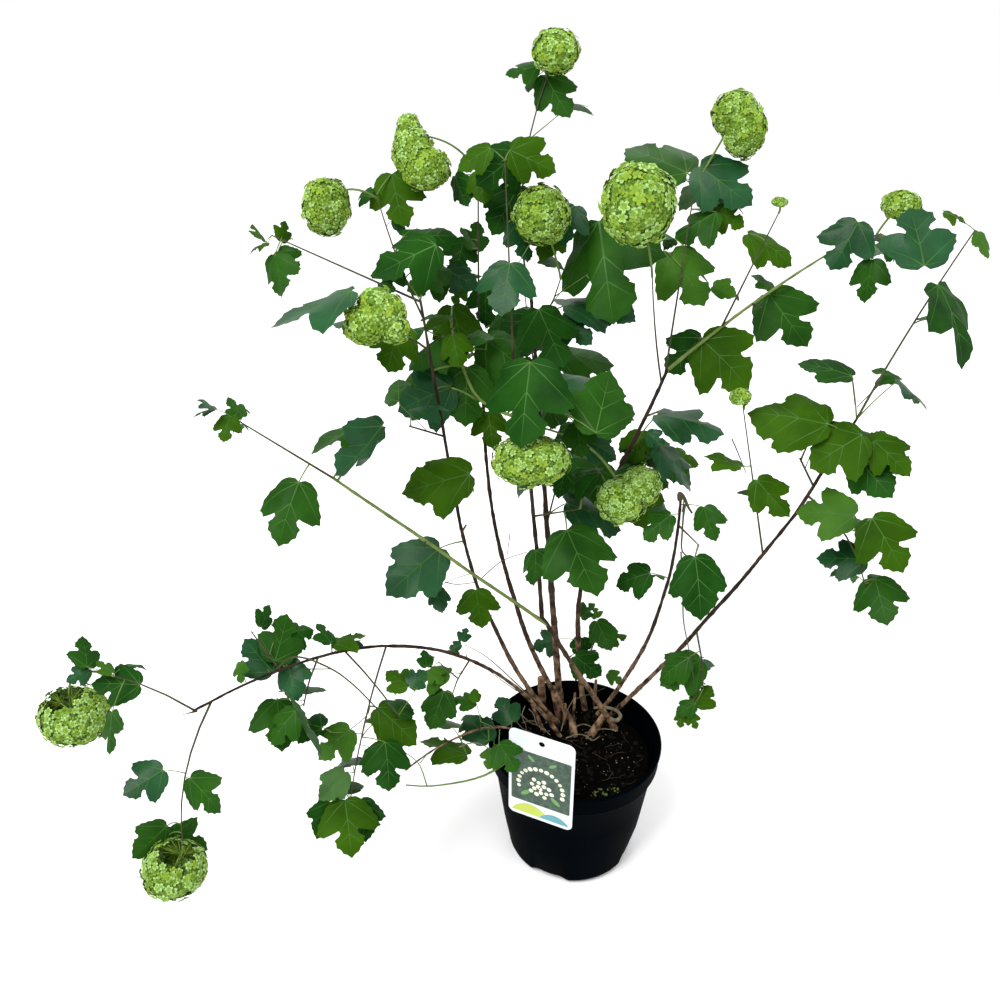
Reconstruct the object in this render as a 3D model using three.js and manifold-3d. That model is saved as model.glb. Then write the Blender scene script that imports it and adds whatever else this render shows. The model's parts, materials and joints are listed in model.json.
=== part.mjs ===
// Snowball viburnum in a nursery pot, in millimetres, +Z up.
// The origin is the centre of the pot's flat underside.
import * as THREE from 'three';
import { mergeVertices } from 'three/addons/utils/BufferGeometryUtils.js';
import Module from 'manifold-3d';

const wasm = await Module();
wasm.setup();

// ---- driving dimensions ----------------------------------------------------

const gap = 0.3; // clear space between two pieces that meet
const roomGap = 0.4; // the same, kept round a faceted limb
const weld = 1e-3; // corners nearer than this are one
const potHeight = 195;
const rimRadius = 120;
const baseRadius = 90;
const potWall = 1.6;
const potTurns = 32; // facets round the pot
const collar = { height: 38, step: 4, slope: 10 }; // the wide band round the pot's top
const lip = { height: 6, depth: 2.4, edge: 1 };
const footRounding = 12;
const footFacets = 3;
const floorTop = 12;
const footNotch = { count: 8, width: 22, height: 5, depth: 9 };
const soilTop = 164;
const soilCrown = { drop: 2, width: 7 }; // the rounded edge of the soil
const soilClear = 1.4; // loose fit of the soil in its pot
const card = { width: 90, height: 146, thickness: 0.9, corner: 9, hole: 4.2, holeDrop: 13 };
const cardFacets = 4; // in each rounded corner
const cardPlace = { heading: 245, bottom: 150 };
const tongue = { width: 24, drop: 32, reach: 9, lap: 0.4 }; // hooks the card over the pot's rim

const barkSides = { thick: 8, thin: 6, limit: 7 }; // facets of a limb above and below a girth
const limbStep = 54; // length of one straight stretch of a limb
const rootFlare = { swell: 0.45, length: 22 };
const twigSides = 3;
const twigStep = 34;
const twigGirth = { foot: 4.6, tip: 2.6 };
const rootSink = 1.5; // how deep a foot starts inside its limb before it is cut clear

const petioleGirth = 2.3;
const petioleFoot = 0.42; // its width at the root, inside the shoot, against its width at the blade
const petioleShare = 0.3; // petiole length per blade length
const petioleLean = { out: 0.85, along: 0.42, up: 0.12, level: 0.25 };
const leafHang = { least: 8, spread: 40, sunward: 20, roll: 22, veer: 24, fold: 72 }; // degrees
const leafTries = 9;
const limbMarksEach = 40; // points along a limb that blades keep away from
const leafRoom = { leaves: 0.34, limbs: 0.2, flowers: 0.2 }; // round a blade's middle, per blade length
const bladeThickness = 0.024; // thickness per blade length, at the midrib
const bladeCentre = 0.42;
const bladeHalf = [[0.06, 0.38], [0.52, 0.58], [0.6, 0.3]]; // base, side lobe, notch
const bladeCurl = { lobe: -0.05, tip: -0.13 };
const tipLeafShare = 0.55; // size of the last leaves of a shoot against the first
const leafSizeSpread = 0.12;
const firstPairAt = 0.35;
const lastPairAt = 0.97;
const sideTwig = { first: 0.3, stretch: 0.35, turn: 50, turnSpread: 40, reach: 0.5, rise: 0.5, leaf: 0.8 };
const sideTwigGirth = 3.4;
const shortLimb = { stretches: 2, stalk: 3 }; // straight stretches of a side twig and of a flower's stalk
const stalkSink = 4; // how deep a flower's stalk starts inside the shoot
const flowerLump = 0.07;
const flowerCorners = 42; // corners of the faceted ball

const finishes = {
  leaf: { color: 0x2f5d22, roughness: 0.55 },
  bark: { color: 0x54402f, roughness: 0.85 },
  pot: { color: 0x14171c, roughness: 0.5 },
  soil: { color: 0x1d1712, roughness: 0.95 },
  card: { color: 0xe8edee, roughness: 0.4 },
};
const dice = { letter: 31, factor: 1664525, shift: 1013904223, range: 2 ** 32 };
const wholeTurn = 2 * Math.PI;
const plainLimb = { bow: 0, sway: 0, twigs: 0, turn: 0 };

// ---- the limbs -------------------------------------------------------------
// A limb leaves its foot towards its heading (degrees, 0 is +X, 90 is the back), reaches that far
// out and rises that far up. Bow lifts its middle off the straight line and sway moves it sideways.
// Girth is its width at the foot and at the tip.

const boughs = [
  { name: 'low_arch', foot: [-18, 34], heading: 209, reach: 485, rise: 255, bow: 100, sway: -25,
    girth: [11, 6] },
  { name: 'low_shoot', foot: [-52, 20], heading: 217, reach: 215, rise: 75, bow: 42, girth: [5, 3.4] },
  { name: 'left_stem', foot: [-22, 62], heading: 200, reach: 140, rise: 372, bow: -20, girth: [10, 6] },
  { name: 'left_upper', on: 'left_stem', at: 1, heading: 196, reach: 38, rise: 285, girth: [6, 4.4] },
  { name: 'inner_stem', foot: [-2, 72], heading: 186, reach: 120, rise: 445, bow: -24, girth: [11, 6] },
  { name: 'inner_upper', on: 'inner_stem', at: 1, heading: 96, reach: 85, rise: 136, girth: [6, 5] },
  { name: 'looped_stem', foot: [62, 50], heading: 206, reach: 125, rise: 240, girth: [11, 8] },
  { name: 'centre_stem', on: 'looped_stem', at: 1, heading: 153, reach: 44, rise: 350, bow: 4,
    girth: [8, 5] },
  { name: 'green_shoot', on: 'looped_stem', at: 0.94, heading: 205, reach: 262, rise: 275,
    girth: [5, 4] },
  { name: 'tall_stem', foot: [-14, 98], heading: 150, reach: 60, rise: 620, girth: [15, 6] },
  { name: 'right_back_stem', foot: [22, 92], heading: 320, reach: 45, rise: 442, bow: 38,
    girth: [11, 7] },
  { name: 'right_upper', on: 'right_back_stem', at: 1, heading: 20, reach: 45, rise: 104,
    girth: [7, 6] },
  { name: 'long_right', on: 'right_upper', at: 1, heading: 23, reach: 212, rise: 116, bow: 6,
    girth: [6, 4.4] },
  { name: 'broken_stem', foot: [40, 78], heading: 297, reach: 140, rise: 442, bow: -16, sway: 22,
    girth: [9, 5] },
  { name: 'far_right_stem', foot: [58, 76], heading: 326, reach: 220, rise: 420, bow: -8,
    girth: [9, 6] },
  { name: 'far_right_upper', on: 'far_right_stem', at: 1, heading: 15, reach: 56, rise: 112,
    girth: [6, 4.6] },
];

// A mass is one shoot on a bough, with opposite pairs of leaves (each pair a quarter turn on from the
// last), side twigs, and for some a flower head at its tip. Leaf is the length of its largest blade.

const masses = [
  { name: 'left_end', on: 'low_arch', at: 1, heading: 158, reach: 110, rise: 15, bow: 6,
    pairs: 2, leaf: 66, turn: 70 },
  { name: 'left_drop', on: 'low_arch', at: 0.97, heading: 205, reach: 62, rise: -205, bow: 14,
    pairs: 3, leaf: 74, turn: 80 },
  { name: 'arch_outer', on: 'low_arch', at: 0.84, heading: 150, reach: 45, rise: 50,
    pairs: 3, leaf: 66, turn: 20 },
  { name: 'arch_drape', on: 'low_arch', at: 0.76, heading: 240, reach: 40, rise: -75, bow: 8,
    pairs: 3, leaf: 72 },
  { name: 'under_arch', on: 'low_arch', at: 0.7, heading: 325, reach: 120, rise: -110, bow: 10,
    pairs: 4, twigs: 1, leaf: 74, turn: 30 },
  { name: 'low_drape', on: 'low_arch', at: 0.6, heading: 250, reach: 120, rise: -150, bow: 12,
    pairs: 4, twigs: 1, leaf: 84 },
  { name: 'arch_inner', on: 'low_arch', at: 0.36, heading: 245, reach: 62, rise: -30, bow: 10,
    pairs: 4, twigs: 1, leaf: 52 },
  { name: 'low_shoot_tip', on: 'low_shoot', at: 0.5, heading: 300, reach: 42, rise: 35,
    pairs: 3, leaf: 50 },
  { name: 'green_tip', on: 'green_shoot', at: 1, heading: 205, reach: 95, rise: 90,
    pairs: 3, leaf: 82, turn: 20 },
  { name: 'green_middle', on: 'green_shoot', at: 0.62, heading: 262, reach: 30, rise: -12,
    pairs: 1, leaf: 84 },
  { name: 'left_fork', on: 'left_stem', at: 0.96, heading: 300, reach: 45, rise: 62,
    pairs: 2, leaf: 96, turn: 10 },
  { name: 'left_side', on: 'left_upper', at: 0.42, heading: 215, reach: 80, rise: 45,
    pairs: 4, twigs: 1, leaf: 92 },
  { name: 'left_bloom', on: 'left_upper', at: 0.8, heading: 248, reach: 122, rise: 64, bow: 6,
    pairs: 3, leaf: 84, turn: 40 },
  { name: 'left_twig', on: 'left_upper', at: 1, heading: 158, reach: 182, rise: 54,
    pairs: 4, leaf: 74, turn: 20 },
  { name: 'upper_left_bloom', on: 'left_upper', at: 0.93, heading: 120, reach: 110, rise: 112, bow: -8,
    pairs: 4, leaf: 74, turn: 30 },
  { name: 'dome_bloom', on: 'inner_upper', at: 1, heading: 275, reach: 20, rise: 190,
    pairs: 4, twigs: 1, leaf: 84 },
  { name: 'inner_front', on: 'inner_upper', at: 0.7, heading: 245, reach: 75, rise: 70,
    pairs: 4, leaf: 86, turn: 30 },
  { name: 'centre_top', on: 'centre_stem', at: 1, heading: 104, reach: 40, rise: 205,
    pairs: 5, twigs: 1, leaf: 88, turn: 10 },
  { name: 'top_bloom', on: 'tall_stem', at: 1, heading: 300, reach: 30, rise: 258, sway: -24,
    pairs: 4, leaf: 70 },
  { name: 'centre_bloom', on: 'tall_stem', at: 0.93, heading: 300, reach: 58, rise: 85, bow: -6,
    pairs: 4, leaf: 92 },
  { name: 'front_bloom', on: 'centre_stem', at: 0.86, heading: 282, reach: 62, rise: 24, bow: 10,
    pairs: 3, leaf: 106 },
  { name: 'centre_low', on: 'centre_stem', at: 0.42, heading: 322, reach: 66, rise: 34,
    pairs: 3, leaf: 94 },
  { name: 'big_bloom', on: 'right_upper', at: 0.86, heading: 247, reach: 86, rise: 158, bow: -6,
    pairs: 4, twigs: 1, leaf: 94, turn: 20 },
  { name: 'kidney_bloom', on: 'right_upper', at: 0.95, heading: 72, reach: 116, rise: 204,
    pairs: 5, leaf: 82 },
  { name: 'right_bud', on: 'long_right', at: 0.36, heading: 30, reach: 70, rise: 130,
    pairs: 3, leaf: 62, turn: 20 },
  { name: 'right_middle', on: 'long_right', at: 0.55, heading: 318, reach: 48, rise: -14, bow: 4,
    pairs: 3, leaf: 86 },
  { name: 'right_tip', on: 'long_right', at: 1, heading: 350, reach: 60, rise: 30, bow: 4,
    pairs: 2, leaf: 82 },
  { name: 'right_front', on: 'right_upper', at: 0.45, heading: 330, reach: 66, rise: 30, bow: 6,
    pairs: 4, leaf: 86 },
  { name: 'right_under', on: 'right_back_stem', at: 0.9, heading: 345, reach: 66, rise: 26,
    pairs: 4, leaf: 72 },
  { name: 'heart_bloom', on: 'right_back_stem', at: 0.84, heading: 262, reach: 82, rise: 60, bow: 4,
    pairs: 4, leaf: 90, turn: 40 },
  { name: 'hanging_leaf', on: 'broken_stem', at: 0.9, heading: 340, reach: 26, rise: -22,
    pairs: 1, leaf: 88 },
  { name: 'right_hanging', on: 'far_right_stem', at: 0.5, heading: 280, reach: 44, rise: -62, bow: 8,
    pairs: 3, leaf: 62 },
  { name: 'dark_bud', on: 'far_right_stem', at: 0.84, heading: 165, reach: 46, rise: 190,
    pairs: 2, leaf: 44 },
  { name: 'far_right_back', on: 'far_right_upper', at: 0.3, heading: 130, reach: 62, rise: 72,
    pairs: 4, leaf: 84 },
  { name: 'far_right_front', on: 'far_right_upper', at: 0.6, heading: 320, reach: 50, rise: 6, bow: 6,
    pairs: 3, leaf: 82 },
  { name: 'far_right_drape', on: 'far_right_upper', at: 0.2, heading: 323, reach: 84, rise: -92, bow: 14,
    pairs: 3, leaf: 72, turn: 20 },
  { name: 'far_right_twig', on: 'far_right_upper', at: 1, heading: 12, reach: 98, rise: 213, bow: 4,
    pairs: 5, leaf: 70, turn: 10 },
  { name: 'back_low', on: 'tall_stem', at: 0.5, heading: 75, reach: 190, rise: 70, bow: 6,
    pairs: 5, twigs: 1, leaf: 86 },
  { name: 'back_high', on: 'tall_stem', at: 0.78, heading: 95, reach: 180, rise: 90,
    pairs: 5, twigs: 1, leaf: 84 },
  { name: 'back_right', on: 'right_back_stem', at: 0.7, heading: 50, reach: 190, rise: 80, bow: 6,
    pairs: 5, twigs: 1, leaf: 84 },
  { name: 'base_shoot', on: 'right_back_stem', at: 0.14, heading: 20, reach: 26, rise: 85, bow: -6,
    pairs: 3, leaf: 52 },
];

// The flower heads: where each hangs from the tip of its mass, and how wide and deep it is.

const flowers = {
  left_end: { heading: 160, reach: 66, rise: -78, bow: 34, width: 88, depth: 70 },
  left_drop: { heading: 200, reach: 8, rise: -44, width: 82, depth: 66 },
  left_bloom: { heading: 230, reach: 26, rise: 4, bow: 5, width: 64, depth: 56 },
  upper_left_bloom: { heading: 192, reach: 62, rise: -12, bow: 16, width: 58, depth: 62 },
  dome_bloom: { heading: 198, reach: 66, rise: 12, bow: 20, width: 62, depth: 76 },
  top_bloom: { heading: 340, reach: 16, rise: 28, width: 52, depth: 46 },
  centre_bloom: { heading: 250, reach: 26, rise: 52, width: 66, depth: 64 },
  front_bloom: { heading: 290, reach: 28, rise: -52, bow: 8, width: 80, depth: 54 },
  big_bloom: { heading: 250, reach: 30, rise: 62, width: 82, depth: 82 },
  kidney_bloom: { heading: 0, reach: 46, rise: 50, bow: 4, width: 58, depth: 74 },
  heart_bloom: { heading: 310, reach: 34, rise: -22, bow: 8, width: 78, depth: 74 },
  right_tip: { heading: 0, reach: 28, rise: 28, bow: 4, width: 48, depth: 38 },
  right_bud: { heading: 20, reach: 6, rise: 8, width: 20, depth: 14 },
  dark_bud: { heading: 20, reach: 6, rise: 10, width: 24, depth: 20 },
};

// ---- small helpers ---------------------------------------------------------

const up = new THREE.Vector3(0, 0, 1);
const radians = (degrees) => degrees * Math.PI / 180;
const towards = (degrees) => new THREE.Vector3(Math.cos(radians(degrees)), Math.sin(radians(degrees)), 0);

// Random numbers from 0 to 1, seeded by a name, that are the same on every run.
function seededDraw(name) {
  let state = 0;
  for (const letter of name) {
    state = (state * dice.letter + letter.charCodeAt(0)) % dice.range;
  }
  return () => {
    state = (state * dice.factor + dice.shift) % dice.range;
    return state / dice.range;
  };
}

// A closed geometry from shared corners and outward triangles.
function closedGeometry(corners, triangles) {
  const geometry = new THREE.BufferGeometry();
  geometry.setAttribute('position', new THREE.Float32BufferAttribute(corners.flat(), 3));
  geometry.setIndex(triangles.flat());
  return geometry;
}

function toSolid(geometry) {
  geometry.deleteAttribute('normal');
  geometry.deleteAttribute('uv');
  const merged = mergeVertices(geometry, weld);
  const vertProperties = new Float32Array(merged.attributes.position.array);
  const triVerts = new Uint32Array(merged.index.array);
  return new wasm.Manifold(new wasm.Mesh({ numProp: 3, vertProperties, triVerts }));
}

// The largest connected body once its corners are welded: loose scraps and sealed hollows are left out.
function mainBody(solid) {
  const bodies = toSolid(toGeometry(solid)).decompose();
  return bodies.reduce((best, body) => (body.volume() > best.volume() ? body : best));
}

function toGeometry(solid) {
  const mesh = solid.getMesh();
  const geometry = new THREE.BufferGeometry();
  geometry.setAttribute('position', new THREE.BufferAttribute(mesh.vertProperties, 3));
  geometry.setIndex(new THREE.BufferAttribute(mesh.triVerts, 1));
  return geometry;
}

function namedMesh(name, solid, finish) {
  const geometry = toGeometry(solid);
  geometry.computeVertexNormals();
  const material = new THREE.MeshStandardMaterial({ ...finish, metalness: 0, flatShading: true });
  const mesh = new THREE.Mesh(geometry, material);
  mesh.name = name;
  return mesh;
}

// ---- limbs as curves and tubes ---------------------------------------------

function chordOf(limb) {
  return towards(limb.heading).multiplyScalar(limb.reach).addScaledVector(up, limb.rise);
}

function limbPoint(limb, t) {
  const chord = chordOf(limb);
  const side = towards(limb.heading + 90);
  const lift = side.clone().cross(chord).normalize().negate();
  const swell = 4 * t * (1 - t);
  return limb.start.clone()
    .addScaledVector(chord, t)
    .addScaledVector(lift, limb.bow * swell)
    .addScaledVector(side, limb.sway * swell);
}

// The same on the straight stretches that the limb's tube is made of.
function axisPoint(limb, t) {
  const whole = Math.min(limb.stretches - 1, Math.floor(t * limb.stretches));
  const from = limbPoint(limb, whole / limb.stretches);
  return from.lerp(limbPoint(limb, (whole + 1) / limb.stretches), t * limb.stretches - whole);
}

function limbTangent(limb, t) {
  const step = 0.01;
  const ahead = limbPoint(limb, Math.min(1, t + step));
  return ahead.sub(limbPoint(limb, Math.max(0, t - step))).normalize();
}

function limbRadius(limb, t) {
  const [foot, tip] = limb.girth;
  const flare = limb.foot ? Math.max(0, 1 - t * chordOf(limb).length() / rootFlare.length) : 0;
  return (foot + (tip - foot) * t) * (1 + rootFlare.swell * flare) / 2;
}

// Two directions across the limb: the first is level, the second points up or back.
function limbCross(limb, t) {
  const tangent = limbTangent(limb, t);
  const level = towards(limb.heading + 90);
  level.addScaledVector(tangent, -level.dot(tangent)).normalize();
  return { tangent, level, rising: level.clone().cross(tangent).negate() };
}

// A tube along the limb. Extra widens and lengthens it all round, for the room it needs.
function limbTube(limb, sides, extra = 0) {
  const rings = Array.from({ length: limb.stretches + 1 }, (_, i) => i / limb.stretches);
  if (limb.foot) {
    rings.splice(1, 0, rootFlare.length / chordOf(limb).length());
  }
  const corners = [];
  rings.forEach((t, ring) => {
    const { tangent, level, rising } = limbCross(limb, t);
    const overrun = { 0: -extra, [rings.length - 1]: extra }[ring] ?? 0;
    const centre = limbPoint(limb, t).addScaledVector(tangent, overrun);
    const radius = limbRadius(limb, t) + extra;
    for (let side = 0; side < sides; side += 1) {
      const angle = wholeTurn * side / sides;
      const corner = centre.clone()
        .addScaledVector(level, radius * Math.cos(angle))
        .addScaledVector(rising, radius * Math.sin(angle));
      if (limb.foot && ring === 0) {
        corner.addScaledVector(tangent, (limb.start.z - corner.z) / tangent.z);
      }
      corners.push(corner.toArray());
    }
  });
  return closedGeometry(corners, tubeTriangles(sides, rings.length));
}

function tubeTriangles(sides, rings) {
  const triangles = [];
  for (let ring = 0; ring < rings - 1; ring += 1) {
    for (let side = 0; side < sides; side += 1) {
      const a = ring * sides + side;
      const b = ring * sides + (side + 1) % sides;
      triangles.push([a, b, b + sides], [a, b + sides, a + sides]);
    }
  }
  const last = (rings - 1) * sides;
  for (let side = 1; side < sides - 1; side += 1) {
    triangles.push([0, side + 1, side], [last, last + side, last + side + 1]);
  }
  return triangles;
}

function inStretches(limb, step) {
  return { ...plainLimb, ...limb, stretches: Math.max(2, Math.round(chordOf(limb).length() / step)) };
}

// ---- leaves and flower heads -----------------------------------------------

// A leaf in its own frame: the blade's base at the origin, its midrib along X and its upper side
// towards +Z. The three-sided petiole runs from the root into the blade as one closed skin.
// Extra makes it larger all round, with a thick edge, for the room it needs.
function leafGeometry(length, root, extra) {
  const grow = length + 2 * extra;
  const neck = petioleGirth / 2 + extra;
  const right = bladeHalf.map(([x, y]) => [x * grow, -y * grow, bladeCurl.lobe * y * grow]);
  const left = right.map(([x, y, z]) => [x, -y, z]).reverse();
  const tip = [grow, 0, bladeCurl.tip * grow];
  const outline = [[0, -neck, neck / 2], ...right, tip, ...left, [0, neck, neck / 2]];
  const lift = outline.map((corner, i) => (i % (outline.length - 1) === 0 ? 0 : extra));
  const upper = outline.map(([x, y, z], i) => [x, y, z + lift[i]]);
  const lower = extra > 0 ? outline.map(([x, y, z], i) => [x, y, z - lift[i]]) : [];
  const half = bladeThickness * length / 2 + extra;
  const ridge = [[bladeCentre * grow, 0, half], [bladeCentre * grow, 0, -half], [0, 0, -neck]];
  const along = root.clone().negate().normalize();
  const level = new THREE.Vector3(0, 1, 0).addScaledVector(along, -along.y).normalize();
  const footing = new THREE.Matrix4().makeBasis(along, level, along.clone().cross(level)).setPosition(root);
  const foot = [[0, -neck, neck / 2], [0, neck, neck / 2], [0, 0, -neck]]
    .map((corner) => new THREE.Vector3(...corner).multiplyScalar(petioleFoot).applyMatrix4(footing))
    .map((corner) => corner.toArray());
  const corners = [...upper, ...lower, ...ridge, ...foot];
  const count = outline.length;
  const under = lower.length;
  const [top, bottom, keel] = [0, 1, 2].map((i) => count + under + i);
  const [footRight, footLeft, footKeel] = [3, 4, 5].map((i) => count + under + i);
  const triangles = [];
  for (let i = 0; i < count - 1; i += 1) {
    triangles.push([top, i, i + 1], [bottom, under + i + 1, under + i]);
    if (extra > 0) {
      triangles.push([i, under + i, under + i + 1], [i, under + i + 1, i + 1]);
    }
  }
  const last = count - 1;
  triangles.push([top, last, 0], [bottom, under, keel], [bottom, keel, under + last]);
  triangles.push([footRight, footKeel, keel], [footRight, keel, 0]);
  triangles.push([footKeel, footLeft, last], [footKeel, last, keel]);
  triangles.push([footLeft, footRight, 0], [footLeft, 0, last], [footRight, footLeft, footKeel]);
  return closedGeometry(corners, triangles);
}

// How one leaf stands: its petiole leaves the shoot sideways and its blade hangs out and faces up.
// The plant grew with its light from the front (-Y), so the blades there hang steeper.
function leafPose(shoot, t, angle, length, draw) {
  const { tangent, level, rising } = limbCross(shoot, t);
  const out = level.clone().multiplyScalar(Math.cos(angle)).addScaledVector(rising, Math.sin(angle));
  const hang = leafHang.least + leafHang.spread * draw();
  const roll = radians(leafHang.roll * (2 * draw() - 1));
  const veer = radians(leafHang.veer * (2 * draw() - 1));
  const spare = radians(360 * draw());
  const root = axisPoint(shoot, t);
  const lean = out.multiplyScalar(petioleLean.out).addScaledVector(tangent, petioleLean.along);
  lean.addScaledVector(up, petioleLean.up).normalize();
  const base = root.clone().addScaledVector(lean, petioleShare * length);
  const ahead = new THREE.Vector3(lean.x, lean.y, 0);
  if (ahead.length() < petioleLean.level) {
    ahead.set(Math.cos(spare), Math.sin(spare), 0);
  }
  ahead.normalize().applyAxisAngle(up, veer);
  const steepest = radians(leafHang.fold) - Math.asin(lean.z);
  const droop = Math.min(radians(hang - leafHang.sunward * ahead.y), steepest);
  const midrib = ahead.clone().multiplyScalar(Math.cos(droop)).addScaledVector(up, -Math.sin(droop));
  const across = up.clone().cross(midrib).normalize().applyAxisAngle(midrib, roll);
  const face = midrib.clone().cross(across);
  const middle = base.clone().addScaledVector(midrib, bladeCentre * length);
  const frame = new THREE.Matrix4().makeBasis(midrib, across, face).setPosition(base);
  return { root, middle, frame, length };
}

function leafSolid({ root, frame, length }, extra) {
  const footing = root.clone().applyMatrix4(frame.clone().invert());
  return toSolid(leafGeometry(length, footing, extra).applyMatrix4(frame));
}

// A lumpy ball on the end of its stalk.
function flowerSolid(stalk, { width, depth }, lumps, extra) {
  const facets = new THREE.IcosahedronGeometry(1, 1);
  const ball = mergeVertices(facets.deleteAttribute('normal').deleteAttribute('uv'));
  const centre = limbPoint(stalk, 1);
  const half = new THREE.Vector3(width, width, depth).divideScalar(2).addScalar(extra);
  const position = ball.attributes.position;
  for (let i = 0; i < position.count; i += 1) {
    const corner = new THREE.Vector3().fromBufferAttribute(position, i);
    corner.multiplyScalar(lumps[i]).multiply(half).add(centre);
    position.setXYZ(i, corner.x, corner.y, corner.z);
  }
  return toSolid(limbTube(stalk, twigSides, extra)).add(toSolid(ball));
}

// ---- growing the plant -----------------------------------------------------
// Every limb, shoot and flower head is grown first, each cut clear of those before it. The leaves and
// side twigs follow, and one that would touch another piece is skipped.

const limbs = new Map();
const grown = new Map(); // by name: the solid, and the room that later pieces leave it
const limbMarks = []; // points along the boughs that blades keep away from
const flowerMarks = [];
const leafMarks = [];

function startOf(limb) {
  if (limb.foot) {
    return new THREE.Vector3(limb.foot[0], limb.foot[1], soilTop + gap);
  }
  const parent = limbs.get(limb.on);
  return limbPoint(parent, limb.at).addScaledVector(limbTangent(parent, limb.at), -rootSink);
}

function boxesMeet(a, b) {
  const first = a.boundingBox();
  const second = b.boundingBox();
  return [0, 1, 2].every((axis) => first.min[axis] < second.max[axis] && second.min[axis] < first.max[axis]);
}

// What is left of a solid once everything grown so far has its room.
function cutClear(solid) {
  return [...grown.values()].reduce((rest, { room }) => (
    boxesMeet(rest, room) ? rest.subtract(room) : rest
  ), solid);
}

function isFree(room, owner) {
  return [...grown].every(([name, { solid }]) => (
    name === owner || !boxesMeet(room, solid) || room.intersect(solid).volume() === 0
  ));
}

function growBough(bough) {
  const limb = { ...inStretches(bough, limbStep), start: startOf(bough) };
  limbs.set(limb.name, limb);
  for (let i = 0; i < limbMarksEach; i += 1) {
    limbMarks.push(limbPoint(limb, i / (limbMarksEach - 1)));
  }
  const sides = limb.girth[0] > barkSides.limit ? barkSides.thick : barkSides.thin;
  const tube = (extra) => toSolid(limbTube(limb, sides, extra));
  const solid = mainBody(cutClear(tube(0)));
  grown.set(limb.name, { solid, room: tube(roomGap) });
}

// The bare shoot of a mass, with its flower head if it has one.
function growShoot(mass) {
  const draw = seededDraw(mass.name);
  const girth = [twigGirth.foot, twigGirth.tip];
  const shoot = { ...inStretches(mass, twigStep), start: startOf(mass), girth };
  const flower = flowers[mass.name];
  const tip = limbPoint(shoot, 1).addScaledVector(limbTangent(shoot, 1), -stalkSink);
  const stalkGirth = [twigGirth.tip, twigGirth.tip];
  const stalk = { ...plainLimb, ...flower, start: tip, girth: stalkGirth, stretches: shortLimb.stalk };
  if (flower) {
    flowerMarks.push({ middle: limbPoint(stalk, 1), width: flower.width });
  }
  const lumps = Array.from({ length: flowerCorners }, () => 1 + flowerLump * (2 * draw() - 1));
  const whole = (extra) => {
    const bare = toSolid(limbTube(shoot, twigSides, extra));
    return flower ? bare.add(flowerSolid(stalk, flower, lumps, extra)) : bare;
  };
  const solid = mainBody(cutClear(whole(0)));
  grown.set(mass.name, { solid, room: whole(roomGap) });
  return { shoot, draw };
}

// A blade keeps its distance from the other blades, from the boughs and from the flower heads.
function hasRoom({ middle, length }) {
  const clearOf = (other, room) => middle.distanceTo(other) > room;
  return limbMarks.every((mark) => clearOf(mark, leafRoom.limbs * length))
    && leafMarks.every((leaf) => clearOf(leaf.middle, leafRoom.leaves * (length + leaf.length)))
    && flowerMarks.every((head) => clearOf(head.middle, leafRoom.flowers * length + head.width / 2));
}

// Leaves in opposite pairs up a shoot, each pair a quarter turn from the last. A single pair is at the tip.
function leafPoses(shoot, { pairs, leaf, turn }, draw) {
  const poses = [];
  for (let pair = 0; pair < pairs; pair += 1) {
    const share = pairs > 1 ? pair / (pairs - 1) : 0;
    const t = pairs > 1 ? firstPairAt + (lastPairAt - firstPairAt) * share : lastPairAt;
    const size = leaf * (1 - (1 - tipLeafShare) * share);
    for (const half of [0, 1]) {
      const angle = radians(turn + 90 * pair + 180 * half);
      const length = size * (1 + leafSizeSpread * (2 * draw() - 1));
      for (let attempt = 0; attempt < leafTries; attempt += 1) {
        const pose = leafPose(shoot, t, angle, length, draw);
        if (hasRoom(pose)) {
          leafMarks.push(pose);
          poses.push(pose);
          break;
        }
      }
    }
  }
  return poses;
}

function sideTwigs(shoot, draw) {
  return Array.from({ length: shoot.twigs }, () => {
    const at = sideTwig.first + sideTwig.stretch * draw();
    const turned = Math.sign(draw() - 0.5);
    return {
      ...plainLimb,
      heading: shoot.heading + turned * (sideTwig.turn + sideTwig.turnSpread * draw()),
      reach: sideTwig.reach * shoot.leaf,
      rise: sideTwig.rise * shoot.leaf * draw(),
      girth: [sideTwigGirth, twigGirth.tip],
      start: axisPoint(shoot, at),
      stretches: shortLimb.stretches,
    };
  });
}

function growLeaves({ shoot, draw }) {
  const mine = grown.get(shoot.name);
  const poses = leafPoses(shoot, shoot, draw);
  for (const twig of sideTwigs(shoot, draw)) {
    const twigPoses = leafPoses(twig, { pairs: 1, leaf: sideTwig.leaf * shoot.leaf, turn: 0 }, draw);
    if (isFree(toSolid(limbTube(twig, twigSides, gap)), shoot.name)) {
      mine.solid = mine.solid.add(toSolid(limbTube(twig, twigSides)));
      poses.push(...twigPoses);
    }
  }
  for (const pose of poses) {
    if (isFree(leafSolid(pose, gap), shoot.name)) {
      mine.solid = mine.solid.add(leafSolid(pose, 0));
    }
  }
  mine.solid = mainBody(mine.solid);
}

// ---- the pot, the soil and the card ----------------------------------------

const shoulder = potHeight - collar.height;

// The pot's sloping wall below the collar.
function bodyRadius(z) {
  const top = rimRadius - collar.step;
  return baseRadius + (top - baseRadius) * z / potHeight;
}

function lathe(profile) {
  const points = profile.map(([radius, z]) => new THREE.Vector2(radius, z));
  return toSolid(new THREE.LatheGeometry(points, potTurns).rotateX(Math.PI / 2));
}

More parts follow.
